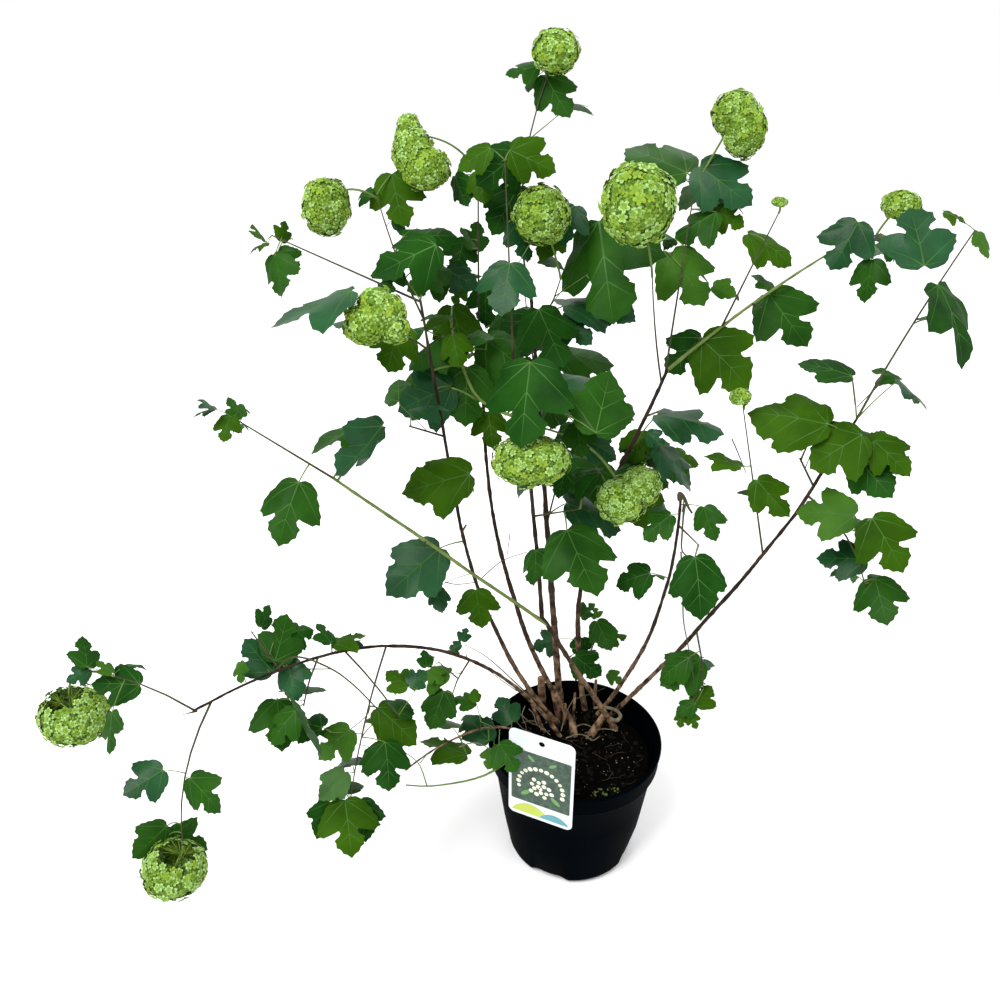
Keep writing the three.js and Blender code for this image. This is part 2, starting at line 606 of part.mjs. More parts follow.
function potSolid() {
  const rounding = Array.from({ length: footFacets + 1 }, (_, i) => {
    const angle = Math.PI / 2 * i / footFacets;
    return [
      baseRadius - footRounding * (1 - Math.sin(angle)),
      footRounding * (1 - Math.cos(angle)),
    ];
  });
  const band = rimRadius - lip.depth;
  const inside = band - potWall;
  const body = lathe([
    [0, 0],
    ...rounding,
    [bodyRadius(shoulder), shoulder],
    [band, shoulder + collar.slope],
    [band, potHeight - lip.height],
    [rimRadius, potHeight - lip.height + lip.edge],
    [rimRadius, potHeight - lip.edge],
    [rimRadius - lip.edge, potHeight],
    [inside, potHeight],
    [inside, shoulder + collar.slope],
    [bodyRadius(shoulder) - potWall, shoulder],
    [baseRadius - potWall, footRounding + potWall],
    [baseRadius - footRounding, floorTop],
    [0, floorTop],
  ]);
  const notches = Array.from({ length: footNotch.count }, (_, i) => {
    const notch = new THREE.BoxGeometry(2 * footNotch.depth, footNotch.width, 2 * footNotch.height);
    return toSolid(notch.translate(baseRadius, 0, 0).rotateZ(wholeTurn * (i + 0.5) / footNotch.count));
  });
  return notches.reduce((pot, notch) => pot.subtract(notch), body);
}

function soilSolid() {
  const clear = potWall + soilClear;
  const edge = bodyRadius(shoulder) - clear;
  return lathe([
    [0, floorTop + gap],
    [baseRadius - footRounding - clear, floorTop + gap],
    [baseRadius - clear, footRounding + clear],
    [edge, shoulder],
    [edge, soilTop - soilCrown.drop],
    [edge - soilCrown.width, soilTop],
    [0, soilTop],
  ]);
}

// A stiff card that stands against the rim. In its own frame X runs across it, Y up it and Z out of it.
function cardSolid() {
  const half = card.width / 2 - card.corner;
  const [low, high] = [card.corner, card.height - card.corner];
  const quarter = Math.PI / 2;
  const outline = new THREE.Shape();
  outline.absarc(half, low, card.corner, -quarter, 0);
  outline.absarc(half, high, card.corner, 0, quarter);
  outline.absarc(-half, high, card.corner, quarter, 2 * quarter);
  outline.absarc(-half, low, card.corner, 2 * quarter, 3 * quarter);
  const hole = new THREE.Path();
  hole.absarc(0, card.height - card.holeDrop, card.hole, 0, wholeTurn);
  outline.holes.push(hole);
  const cut = { depth: card.thickness, bevelEnabled: false, curveSegments: cardFacets };
  const plate = new THREE.ExtrudeGeometry(outline, cut);

  const crest = potHeight - cardPlace.bottom + gap;
  const over = new THREE.BoxGeometry(tongue.width, card.thickness, tongue.reach + tongue.lap);
  over.translate(0, crest + card.thickness / 2, (tongue.lap - tongue.reach) / 2);
  const down = new THREE.BoxGeometry(tongue.width, tongue.drop, card.thickness);
  down.translate(0, crest + card.thickness - tongue.drop / 2, card.thickness / 2 - tongue.reach);
  const hooked = toSolid(plate).add(toSolid(over)).add(toSolid(down));

  const outward = towards(cardPlace.heading);
  const across = up.clone().cross(outward);
  const frame = new THREE.Matrix4().makeBasis(across, up, outward);
  frame.setPosition(outward.multiplyScalar(rimRadius + gap).setZ(cardPlace.bottom));
  return toSolid(toGeometry(hooked).applyMatrix4(frame));
}

// ---- the whole plant in its pot --------------------------------------------

const viburnum = new THREE.Group();
viburnum.name = 'snowball_viburnum';

const pot = potSolid();
const label = cardSolid();
grown.set('pot', { solid: pot, room: pot });
grown.set('plant_label', { solid: label, room: label });
boughs.forEach(growBough);
masses.map(growShoot).forEach(growLeaves);

viburnum.add(namedMesh('pot', pot, finishes.pot));
viburnum.add(namedMesh('soil', soilSolid(), finishes.soil));
viburnum.add(namedMesh('plant_label', label, finishes.card));
for (const { name } of boughs) {
  viburnum.add(namedMesh(name, grown.get(name).solid, finishes.bark));
}
for (const { name } of masses) {
  viburnum.add(namedMesh(name, grown.get(name).solid, finishes.leaf));
}

export default viburnum;
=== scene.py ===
# %% [markdown]
# # A snowball viburnum in its nursery pot
# This lesson dresses a packed plan of a young garden shrub. The plan gives every limb, shoot and pot
# its true size and place, and the cells below grow bark, lobed leaves and flower heads along it.
# All sizes are millimetres in the plan's own words, and meshes are made in metres.

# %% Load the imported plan
import json
import math

import bmesh
import bpy
import numpy as np
from mathutils import Matrix, Vector, noise
from mathutils.bvhtree import BVHTree

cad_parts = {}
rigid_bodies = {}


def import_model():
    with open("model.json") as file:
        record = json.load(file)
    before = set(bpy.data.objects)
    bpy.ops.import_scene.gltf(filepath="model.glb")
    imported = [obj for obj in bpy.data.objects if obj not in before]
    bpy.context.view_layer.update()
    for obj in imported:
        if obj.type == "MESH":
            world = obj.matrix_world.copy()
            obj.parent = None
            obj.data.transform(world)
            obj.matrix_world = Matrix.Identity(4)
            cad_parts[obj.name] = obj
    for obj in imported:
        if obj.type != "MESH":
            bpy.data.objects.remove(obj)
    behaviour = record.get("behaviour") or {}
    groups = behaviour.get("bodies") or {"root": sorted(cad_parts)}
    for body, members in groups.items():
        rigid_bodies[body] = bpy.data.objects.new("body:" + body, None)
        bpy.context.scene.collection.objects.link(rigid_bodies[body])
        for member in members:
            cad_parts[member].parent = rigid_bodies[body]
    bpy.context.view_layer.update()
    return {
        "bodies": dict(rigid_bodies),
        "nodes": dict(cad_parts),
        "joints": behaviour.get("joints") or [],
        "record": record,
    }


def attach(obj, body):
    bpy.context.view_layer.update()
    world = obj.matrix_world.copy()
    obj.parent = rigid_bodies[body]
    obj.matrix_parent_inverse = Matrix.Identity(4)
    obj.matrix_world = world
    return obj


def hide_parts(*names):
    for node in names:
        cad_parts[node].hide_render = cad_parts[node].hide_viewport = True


for leftover in list(bpy.data.objects):
    bpy.data.objects.remove(leftover)
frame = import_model()
MM = 0.001
print("nodes in the plan:", len(frame["nodes"]))

# %% [markdown]
# The camera stands a little above the top of the shrub, one step in front of it, and looks down by
# about thirty degrees. That is how somebody sees a pot that stands at their feet.

# %% Camera
CAMERA_PLACE = (-0.1035, -1.045, 1.169)
CAMERA_DOWN = 29.7  # degrees below level
CAMERA_LENS = 36.0  # as wide as the sensor, so the view is square and 53 degrees across

camera_data = bpy.data.cameras.new("camera")
camera_data.lens = CAMERA_LENS
camera_data.sensor_width = 36.0
camera = bpy.data.objects.new("camera", camera_data)
camera.location = CAMERA_PLACE
camera.rotation_euler = (math.radians(90 - CAMERA_DOWN), 0, 0)
bpy.context.scene.collection.objects.link(camera)
bpy.context.scene.camera = camera
print("camera height", CAMERA_PLACE[2])

# %% [markdown]
# A soft even light suits dark glossy leaves: a pale sky all round, one large lamp high at the front
# left, a wide weak one at the right and one behind.

# %% Light
SKY_COLOUR = (1.0, 1.0, 1.0, 1)
SKY_STRENGTH = 1.08
LAMPS = {  # place, size and watts
    "key": ((-1.5, -1.7, 3.6), 1.6, 130),
    "fill": ((2.6, -1.6, 2.2), 2.6, 16),
    "back": ((0.8, 2.9, 3.2), 2.2, 40),
}
LOOK_AT = Vector((0, 0, 0.6))


def linked(name, data):
    piece = bpy.data.objects.new(name, data)
    bpy.context.scene.collection.objects.link(piece)
    return piece


def add_lamp(name, place, size, watts):
    data = bpy.data.lights.new(name, "AREA")
    data.size = size
    data.energy = watts
    lamp = linked(name, data)
    lamp.location = place
    lamp.rotation_euler = (LOOK_AT - Vector(place)).to_track_quat("-Z", "Y").to_euler()


for lamp_name, lamp in LAMPS.items():
    add_lamp(lamp_name, *lamp)

sky = bpy.data.worlds.new("sky")
sky.use_nodes = True
sky.node_tree.nodes["Background"].inputs["Color"].default_value = SKY_COLOUR
sky.node_tree.nodes["Background"].inputs["Strength"].default_value = SKY_STRENGTH
bpy.context.scene.world = sky
bpy.context.scene.view_settings.view_transform = "Standard"

print("lamps:", ", ".join(LAMPS))

# %% [markdown]
# The floor is one plain square that runs far out, so that no horizon shows. Every new shape below is
# built in a bmesh as well, and one helper turns that into a mesh.

# %% Floor
FLOOR_SIZE = 90.0


def mesh_from(bm, name):
    """A mesh with all that a bmesh holds; the bmesh is freed."""
    mesh = bpy.data.meshes.new(name)
    bm.to_mesh(mesh)
    bm.free()
    return mesh


floor_bm = bmesh.new()
bmesh.ops.create_grid(floor_bm, x_segments=1, y_segments=1, size=FLOOR_SIZE / 2)
floor = linked("floor", mesh_from(floor_bm, "floor"))
print("floor:", FLOOR_SIZE, "m wide")

# %% [markdown]
# Each material is a Principled shader. Two effects that most of them share are node groups: **mottle**
# mixes two colours in soft patches, and **grain** turns fine noise into a bumpy normal.

# %% Shared shader groups
SOCKETS = {"float": "NodeSocketFloat", "colour": "NodeSocketColor", "vector": "NodeSocketVector"}
GREY = (0.5, 0.5, 0.5, 1)


def new_group(name, inputs, outputs):
    group = bpy.data.node_groups.new(name, "ShaderNodeTree")
    for socket, (kind, value) in inputs.items():
        made = group.interface.new_socket(socket, in_out="INPUT", socket_type=SOCKETS[kind])
        made.default_value = value
    for socket, kind in outputs.items():
        group.interface.new_socket(socket, in_out="OUTPUT", socket_type=SOCKETS[kind])
    return group, group.nodes.new("NodeGroupInput"), group.nodes.new("NodeGroupOutput")


def noise_in(group, given, detail):
    """Noise over the piece's own coordinates, at the scale that the group is given."""
    place = group.nodes.new("ShaderNodeTexCoord")
    cloud = group.nodes.new("ShaderNodeTexNoise")
    cloud.inputs["Detail"].default_value = detail
    group.links.new(place.outputs["Object"], cloud.inputs["Vector"])
    group.links.new(given.outputs["Scale"], cloud.inputs["Scale"])
    return cloud.outputs["Fac"]


def mix_colours(tree, mask, first, second, target):
    """Mixes two colours by a mask and leads the result to a target socket."""
    mixed = tree.nodes.new("ShaderNodeMix")
    mixed.data_type = "RGBA"
    for socket, source in {"Factor": mask, "A": first, "B": second}.items():
        tree.links.new(source, mixed.inputs[socket])
    tree.links.new(mixed.outputs["Result"], target)


def mottle_group():
    inputs = {
        "Dark": ("colour", GREY),
        "Light": ("colour", GREY),
        "Scale": ("float", 30.0),
        "Contrast": ("float", 2.0),
    }
    group, given, result = new_group("mottle", inputs, {"Color": "colour"})
    centred = group.nodes.new("ShaderNodeMath")
    centred.operation = "SUBTRACT"
    centred.inputs[1].default_value = 0.5
    stretched = group.nodes.new("ShaderNodeMath")
    stretched.operation = "MULTIPLY_ADD"
    stretched.inputs[2].default_value = 0.5
    stretched.use_clamp = True
    group.links.new(noise_in(group, given, 4), centred.inputs[0])
    group.links.new(centred.outputs[0], stretched.inputs[0])
    group.links.new(given.outputs["Contrast"], stretched.inputs[1])
    ends = given.outputs["Dark"], given.outputs["Light"]
    mix_colours(group, stretched.outputs[0], *ends, result.inputs["Color"])
    return group


def grain_group():
    inputs = {"Scale": ("float", 600.0), "Height": ("float", 0.0002), "Strength": ("float", 0.3)}
    group, given, result = new_group("grain", inputs, {"Normal": "vector"})
    bump = group.nodes.new("ShaderNodeBump")
    group.links.new(noise_in(group, given, 3), bump.inputs["Height"])
    group.links.new(given.outputs["Height"], bump.inputs["Distance"])
    group.links.new(given.outputs["Strength"], bump.inputs["Strength"])
    group.links.new(bump.outputs["Normal"], result.inputs["Normal"])
    return group


MOTTLE = mottle_group()
GRAIN = grain_group()
print("groups:", MOTTLE.name, GRAIN.name)

# %% [markdown]
# A finish is one shader with both groups placed before it, each with values of its own.

# %% How a finish is put together
PLAIN_GRAIN = (600.0, 0.0002, 0.3)  # scale, height in metres and strength


def placed_group(tree, group, **values):
    node = tree.nodes.new("ShaderNodeGroup")
    node.node_tree = group
    for socket, value in values.items():
        node.inputs[socket].default_value = value
    return node


def finish(name, dark, light, roughness, scale=30.0, contrast=2.0, grain=PLAIN_GRAIN, mirror=0.5):
    """A Principled material whose colour runs in soft patches from dark to light."""
    made = bpy.data.materials.new(name)
    made.use_nodes = True
    tree = made.node_tree
    shader = tree.nodes["Principled BSDF"]
    shader.inputs["Roughness"].default_value = roughness
    shader.inputs["Specular IOR Level"].default_value = mirror
    colours = dict(Dark=(*dark, 1), Light=(*light, 1), Scale=scale, Contrast=contrast)
    mottle = placed_group(tree, MOTTLE, **colours)
    bumps = placed_group(tree, GRAIN, **dict(zip(("Scale", "Height", "Strength"), grain)))
    tree.links.new(mottle.outputs["Color"], shader.inputs["Base Color"])
    tree.links.new(bumps.outputs["Normal"], shader.inputs["Normal"])
    return made


print("plain grain is", PLAIN_GRAIN[1] / MM, "mm high")

# %% [markdown]
# The leaves get several plain greens, dealt out by shares. Old leaves are deep green. A bluer green is
# painted sheen, standing for the sky's reflection, and a warmer one is painted light, standing for light
# that comes through the blade. The youngest are yellow green. The underside is paler and dull.

# %% Leaf finishes
LEAF_GRAIN = (420.0, 0.0006, 0.35)
LEAF_TOPS = {  # dark and light patches, roughness, and how much they mirror
    "leaf_deep": ((0.0034, 0.028, 0.0020), (0.0110, 0.062, 0.0042), 0.50, 0.04),
    # painted sheen: a bluer green that stands for the sky's reflection on the blade
    "leaf_painted_sky_sheen": ((0.0040, 0.034, 0.0080), (0.0130, 0.074, 0.0220), 0.38, 0.14),
    # painted light: a warmer green that stands for light coming through the blade
    "leaf_painted_backlight": ((0.0145, 0.048, 0.0010), (0.0310, 0.090, 0.0018), 0.52, 0.03),
    "leaf_mid": ((0.0070, 0.040, 0.0022), (0.0175, 0.077, 0.0042), 0.46, 0.06),
    "leaf_young": ((0.0200, 0.074, 0.0040), (0.0420, 0.122, 0.0085), 0.50, 0.06),
}
LEAF_BACK = dict(Dark=(0.030, 0.082, 0.020, 1), Light=(0.062, 0.140, 0.040, 1), Scale=22.0, Contrast=2.0)


def two_sided(made):
    """Gives a blade's back the paler green of the underside."""
    tree = made.node_tree
    colour = tree.nodes["Principled BSDF"].inputs["Base Color"]
    front, behind = colour.links[0].from_socket, placed_group(tree, MOTTLE, **LEAF_BACK)
    side = tree.nodes.new("ShaderNodeNewGeometry")
    mix_colours(tree, side.outputs["Backfacing"], front, behind.outputs["Color"], colour)
    return made


leaf_tops = [
    two_sided(finish(name, dark, light, roughness, scale=22.0, contrast=2.4, grain=LEAF_GRAIN,
                     mirror=mirror))
    for name, (dark, light, roughness, mirror) in LEAF_TOPS.items()
]
leaf_vein = finish("leaf_vein", (0.024, 0.082, 0.011), (0.052, 0.134, 0.024), 0.5, mirror=0.1)
print("leaf greens:", ", ".join(LEAF_TOPS))

# %% [markdown]
# The small flowers are lime green before they turn white, so their finishes run from lime to a pale
# green, with a darker one that paints shade into the throats. Twigs are brown, green or dead.

# %% Blossom and twig finishes
BLOSSOM_TINTS = {
    "petal_lime": ((0.118, 0.214, 0.018), (0.215, 0.346, 0.046), 0.60),
    "petal_pale": ((0.205, 0.345, 0.085), (0.350, 0.540, 0.195), 0.60),
    "petal_yellow": ((0.160, 0.255, 0.016), (0.255, 0.375, 0.040), 0.60),
    # painted shade: the darker green of the flowers' throats
    "petal_shade": ((0.060, 0.125, 0.008), (0.110, 0.205, 0.018), 0.65),
}
petals = [
    finish(name, dark, light, roughness, scale=160.0, contrast=2.0, mirror=0.1)
    for name, (dark, light, roughness) in BLOSSOM_TINTS.items()
]
twig_brown = finish("twig_brown", (0.022, 0.017, 0.009), (0.066, 0.066, 0.032), 0.7, scale=60.0, mirror=0.15)
twig_green = finish("twig_green", (0.060, 0.110, 0.018), (0.130, 0.200, 0.045), 0.55, scale=60.0, mirror=0.15)
twig_dead = finish("twig_dead", (0.090, 0.070, 0.045), (0.230, 0.190, 0.130), 0.85, scale=90.0, mirror=0.1)
print("blossom tints:", ", ".join(BLOSSOM_TINTS))

# %% [markdown]
# Now the plan is grown again. A limb leaves its foot towards its heading, reaches so far out and rises
# so far up, with a bow and a sway off the straight line. These are the sizes that the solids were grown
# from.

# %% Boughs
BOUGH_WORDS = "name start heading reach rise bow sway girth".split()
BOUGH_ROWS = [
    ("low_arch", dict(foot=(-18, 34)), 209, 485, 255, 100, -25, (11, 6)),
    ("low_shoot", dict(foot=(-52, 20)), 217, 215, 75, 42, 0, (5, 3.4)),
    ("left_stem", dict(foot=(-22, 62)), 200, 140, 372, -20, 0, (10, 6)),
    ("left_upper", dict(on="left_stem", at=1), 196, 38, 285, 0, 0, (6, 4.4)),
    ("inner_stem", dict(foot=(-2, 72)), 186, 120, 445, -24, 0, (11, 6)),
    ("inner_upper", dict(on="inner_stem", at=1), 96, 85, 136, 0, 0, (6, 5)),
    ("looped_stem", dict(foot=(62, 50)), 206, 125, 240, 0, 0, (11, 8)),
    ("centre_stem", dict(on="looped_stem", at=1), 153, 44, 350, 4, 0, (8, 5)),
    ("green_shoot", dict(on="looped_stem", at=0.94), 205, 262, 275, 0, 0, (5, 4)),
    ("tall_stem", dict(foot=(-14, 98)), 150, 60, 620, 0, 0, (15, 6)),
    ("right_back_stem", dict(foot=(22, 92)), 320, 45, 442, 38, 0, (11, 7)),
    ("right_upper", dict(on="right_back_stem", at=1), 20, 45, 104, 0, 0, (7, 6)),
    ("long_right", dict(on="right_upper", at=1), 23, 212, 116, 6, 0, (6, 4.4)),
    ("broken_stem", dict(foot=(40, 78)), 297, 140, 442, -16, 22, (9, 5)),
    ("far_right_stem", dict(foot=(58, 76)), 326, 220, 420, -8, 0, (9, 6)),
    ("far_right_upper", dict(on="far_right_stem", at=1), 15, 56, 112, 0, 0, (6, 4.6)),
]
BOUGHS = [dict(zip(BOUGH_WORDS, row)) | row[1] for row in BOUGH_ROWS]
print("boughs of the plan:", len(BOUGHS))

# %% [markdown]
# A mass of foliage is a shoot on one of these limbs. Each row tells its limb and how far up it stands,
# then the same sizes, how many pairs of leaves and side twigs it bears, how long its leaves are, and
# how far its first pair is turned.

# %% Masses of foliage
MASS_WORDS = "name on at heading reach rise bow sway pairs twigs leaf turn".split()
MASS_ROWS = [
    ("left_end", "low_arch", 1, 158, 110, 15, 6, 0, 2, 0, 66, 70),
    ("left_drop", "low_arch", 0.97, 205, 62, -205, 14, 0, 3, 0, 74, 80),
    ("arch_outer", "low_arch", 0.84, 150, 45, 50, 0, 0, 3, 0, 66, 20),
    ("arch_drape", "low_arch", 0.76, 240, 40, -75, 8, 0, 3, 0, 72, 0),
    ("under_arch", "low_arch", 0.7, 325, 120, -110, 10, 0, 4, 1, 74, 30),
    ("low_drape", "low_arch", 0.6, 250, 120, -150, 12, 0, 4, 1, 84, 0),
    ("arch_inner", "low_arch", 0.36, 245, 62, -30, 10, 0, 4, 1, 52, 0),
    ("low_shoot_tip", "low_shoot", 0.5, 300, 42, 35, 0, 0, 3, 0, 50, 0),
    ("green_tip", "green_shoot", 1, 205, 95, 90, 0, 0, 3, 0, 82, 20),
    ("green_middle", "green_shoot", 0.62, 262, 30, -12, 0, 0, 1, 0, 84, 0),
    ("left_fork", "left_stem", 0.96, 300, 45, 62, 0, 0, 2, 0, 96, 10),
    ("left_side", "left_upper", 0.42, 215, 80, 45, 0, 0, 4, 1, 92, 0),
    ("left_bloom", "left_upper", 0.8, 248, 122, 64, 6, 0, 3, 0, 84, 40),
    ("left_twig", "left_upper", 1, 158, 182, 54, 0, 0, 4, 0, 74, 20),
    ("upper_left_bloom", "left_upper", 0.93, 120, 110, 112, -8, 0, 4, 0, 74, 30),
    ("dome_bloom", "inner_upper", 1, 275, 20, 190, 0, 0, 4, 1, 84, 0),
    ("inner_front", "inner_upper", 0.7, 245, 75, 70, 0, 0, 4, 0, 86, 30),
    ("centre_top", "centre_stem", 1, 104, 40, 205, 0, 0, 5, 1, 88, 10),
    ("top_bloom", "tall_stem", 1, 300, 30, 258, 0, -24, 4, 0, 70, 0),
    ("centre_bloom", "tall_stem", 0.93, 300, 58, 85, -6, 0, 4, 0, 92, 0),
    ("front_bloom", "centre_stem", 0.86, 282, 62, 24, 10, 0, 3, 0, 106, 0),
    ("centre_low", "centre_stem", 0.42, 322, 66, 34, 0, 0, 3, 0, 94, 0),
    ("big_bloom", "right_upper", 0.86, 247, 86, 158, -6, 0, 4, 1, 94, 20),
    ("kidney_bloom", "right_upper", 0.95, 72, 116, 204, 0, 0, 5, 0, 82, 0),
    ("right_bud", "long_right", 0.36, 30, 70, 130, 0, 0, 3, 0, 62, 20),
    ("right_middle", "long_right", 0.55, 318, 48, -14, 4, 0, 3, 0, 86, 0),
    ("right_tip", "long_right", 1, 350, 60, 30, 4, 0, 2, 0, 82, 0),
    ("right_front", "right_upper", 0.45, 330, 66, 30, 6, 0, 4, 0, 86, 0),
    ("right_under", "right_back_stem", 0.9, 345, 66, 26, 0, 0, 4, 0, 72, 0),
    ("heart_bloom", "right_back_stem", 0.84, 262, 82, 60, 4, 0, 4, 0, 90, 40),
    ("hanging_leaf", "broken_stem", 0.9, 340, 26, -22, 0, 0, 1, 0, 88, 0),
    ("right_hanging", "far_right_stem", 0.5, 280, 44, -62, 8, 0, 3, 0, 62, 0),
    ("dark_bud", "far_right_stem", 0.84, 165, 46, 190, 0, 0, 2, 0, 44, 0),
    ("far_right_back", "far_right_upper", 0.3, 130, 62, 72, 0, 0, 4, 0, 84, 0),
    ("far_right_front", "far_right_upper", 0.6, 320, 50, 6, 6, 0, 3, 0, 82, 0),
    ("far_right_drape", "far_right_upper", 0.2, 323, 84, -92, 14, 0, 3, 0, 72, 20),
    ("far_right_twig", "far_right_upper", 1, 12, 98, 213, 4, 0, 5, 0, 70, 10),
    ("back_low", "tall_stem", 0.5, 75, 190, 70, 6, 0, 5, 1, 86, 0),
    ("back_high", "tall_stem", 0.78, 95, 180, 90, 0, 0, 5, 1, 84, 0),
    ("back_right", "right_back_stem", 0.7, 50, 190, 80, 6, 0, 5, 1, 84, 0),
    ("base_shoot", "right_back_stem", 0.14, 20, 26, 85, -6, 0, 3, 0, 52, 0),
]
MASSES = [dict(zip(MASS_WORDS, row)) for row in MASS_ROWS]
print("masses:", len(MASSES))

# %% [markdown]
# Some masses end in a flower head. Its stalk has the sizes of a limb, and the width says how much
# room the head takes.

# %% Flower heads of the plan
HEAD_WORDS = "heading reach rise bow width".split()
HEAD_ROWS = [
    ("left_end", 160, 66, -78, 34, 88),
    ("left_drop", 200, 8, -44, 0, 82),
    ("left_bloom", 230, 26, 4, 5, 64),
    ("upper_left_bloom", 192, 62, -12, 16, 58),
    ("dome_bloom", 198, 66, 12, 20, 62),
    ("top_bloom", 340, 16, 28, 0, 52),
    ("centre_bloom", 250, 26, 52, 0, 66),
    ("front_bloom", 290, 28, -52, 8, 80),
    ("big_bloom", 250, 30, 62, 0, 82),
    ("kidney_bloom", 0, 46, 50, 4, 58),
    ("heart_bloom", 310, 34, -22, 8, 78),
    ("right_tip", 0, 28, 28, 4, 48),
    ("right_bud", 20, 6, 8, 0, 20),
    ("dark_bud", 20, 6, 10, 0, 24),
]
HEADS = {name: dict(zip(HEAD_WORDS, row)) for name, *row in HEAD_ROWS}
print("flower heads:", len(HEADS))

# %% [markdown]
# The growing rule. Every mass of foliage has dice of its own, seeded by its name, and they are rolled in
# the same order as for the solids.

# %% Dice and directions
DICE = dict(letter=31, factor=1664525, shift=1013904223, range=2**32)
UP = np.array([0.0, 0.0, 1.0])


def seeded_draw(name):
    """Random numbers from 0 to 1, the same on every run for the same name."""
    state = 0
    for letter in name:
        state = (state * DICE["letter"] + ord(letter)) % DICE["range"]

    def draw():
        nonlocal state
        state = (state * DICE["factor"] + DICE["shift"]) % DICE["range"]
        return state / DICE["range"]

    return draw


def between(low, high, draw):
    return low + (high - low) * draw()


def centred_draws(draw):
    """Three draws, each from minus a half to a half."""
    return np.array([draw() - 0.5, draw() - 0.5, draw() - 0.5])


def unit(vector):
    return vector / np.linalg.norm(vector)


def towards(degrees):
    return np.array([math.cos(math.radians(degrees)), math.sin(math.radians(degrees)), 0.0])


def turned(vector, axis, angle):
    """The vector turned about an axis of length one."""
    level = vector * math.cos(angle) + np.cross(axis, vector) * math.sin(angle)
    return level + axis * np.dot(axis, vector) * (1 - math.cos(angle))


print("first roll of the pot's dice:", round(seeded_draw("pot")(), 3))

# %% [markdown]
# A limb is a chord with two swells across it. It is asked for a point, a direction or a cross at any
# share of its length. A Bezier curve could do the same, but would need handles for every limb.

# %% Curves of the limbs
GAP = 0.3
SOIL_TOP = 164
ROOT_SINK = 1.5
LIMB_STEP = 54
TWIG_STEP = 34
TWIG_GIRTH = (4.6, 2.6)
PLAIN_LIMB = dict(bow=0, sway=0, twigs=0, turn=0)


def chord_of(limb):
    return towards(limb["heading"]) * limb["reach"] + UP * limb["rise"]


def limb_length(limb):
    return float(np.linalg.norm(chord_of(limb)))


def limb_point(limb, t):
    chord = chord_of(limb)
    side = towards(limb["heading"] + 90)
    lift = -unit(np.cross(side, chord))
    swell = 4 * t * (1 - t)
    return limb["start"] + chord * t + (lift * limb["bow"] + side * limb["sway"]) * swell


def axis_point(limb, t):
    """The same on the straight stretches that the solids are made of."""
    count = limb["stretches"]
    whole = min(count - 1, math.floor(t * count))
    start, end = limb_point(limb, whole / count), limb_point(limb, (whole + 1) / count)
    return start + (end - start) * (t * count - whole)


def limb_tangent(limb, t):
    step = 0.01
    return unit(limb_point(limb, min(1, t + step)) - limb_point(limb, max(0, t - step)))


def limb_cross(limb, t):
    """The direction along the limb and two across it, of which the first is level."""
    tangent = limb_tangent(limb, t)
    level = towards(limb["heading"] + 90)
    level = unit(level - tangent * np.dot(level, tangent))
    return tangent, level, -np.cross(level, tangent)


def in_stretches(limb, step):
    # rounds half up, as the solids do
    count = max(2, math.floor(limb_length(limb) / step + 0.5))
    return {**PLAIN_LIMB, **limb, "stretches": count}


limbs = {}


def start_of(limb):
    if "foot" in limb:
        return np.array([*limb["foot"], SOIL_TOP + GAP], float)
    parent = limbs[limb["on"]]
    return limb_point(parent, limb["at"]) - limb_tangent(parent, limb["at"]) * ROOT_SINK


for bough in BOUGHS:
    limbs[bough["name"]] = {**in_stretches(bough, LIMB_STEP), "start": start_of(bough)}
print("boughs:", len(limbs), "longest", max(round(limb_length(limb)) for limb in limbs.values()), "mm")

# %% [markdown]
# Each mass is one shoot with leaves in opposite pairs. A leaf leaves sideways on its stalk, then its
# blade hangs outwards. A blade that would crowd a bough, a flower head or another blade is tried
# again at another angle, and skipped when no angle is free.

# %% One leaf by the rule
PETIOLE_SHARE = 0.3
PETIOLE_LEAN = dict(out=0.85, along=0.42, up=0.12, level=0.25)
LEAF_HANG = dict(least=8, spread=40, sunward=20, roll=22, veer=24, fold=72)
LIMB_MARKS_EACH = 40
LEAF_ROOM = dict(leaves=0.34, limbs=0.2, flowers=0.2)
BLADE_CENTRE = 0.42

limb_marks = np.array([
    limb_point(limb, i / (LIMB_MARKS_EACH - 1)) for limb in limbs.values() for i in range(LIMB_MARKS_EACH)
])
leaf_marks = []
head_marks = []


def leaf_pose(shoot, t, angle, length, draw):
    tangent, level, rising = limb_cross(shoot, t)
    out = level * math.cos(angle) + rising * math.sin(angle)
    hang = LEAF_HANG["least"] + LEAF_HANG["spread"] * draw()
    roll = math.radians(LEAF_HANG["roll"] * (2 * draw() - 1))
    veer = math.radians(LEAF_HANG["veer"] * (2 * draw() - 1))
    spare = math.radians(360 * draw())
    root = axis_point(shoot, t)
    lean = out * PETIOLE_LEAN["out"] + tangent * PETIOLE_LEAN["along"] + UP * PETIOLE_LEAN["up"]
    lean = unit(lean)
    base = root + lean * PETIOLE_SHARE * length
    ahead = np.array([lean[0], lean[1], 0.0])
    if np.linalg.norm(ahead) < PETIOLE_LEAN["level"]:
        ahead = np.array([math.cos(spare), math.sin(spare), 0.0])
    ahead = turned(unit(ahead), UP, veer)
    steepest = math.radians(LEAF_HANG["fold"]) - math.asin(lean[2])
    droop = min(math.radians(hang - LEAF_HANG["sunward"] * ahead[1]), steepest)
    midrib = ahead * math.cos(droop) - UP * math.sin(droop)
    across = turned(unit(np.cross(UP, midrib)), midrib, roll)
    middle = base + midrib * BLADE_CENTRE * length
    return dict(root=root, base=base, middle=middle, length=length, tangent=tangent,
                frame=np.array([midrib, across, np.cross(midrib, across)]))


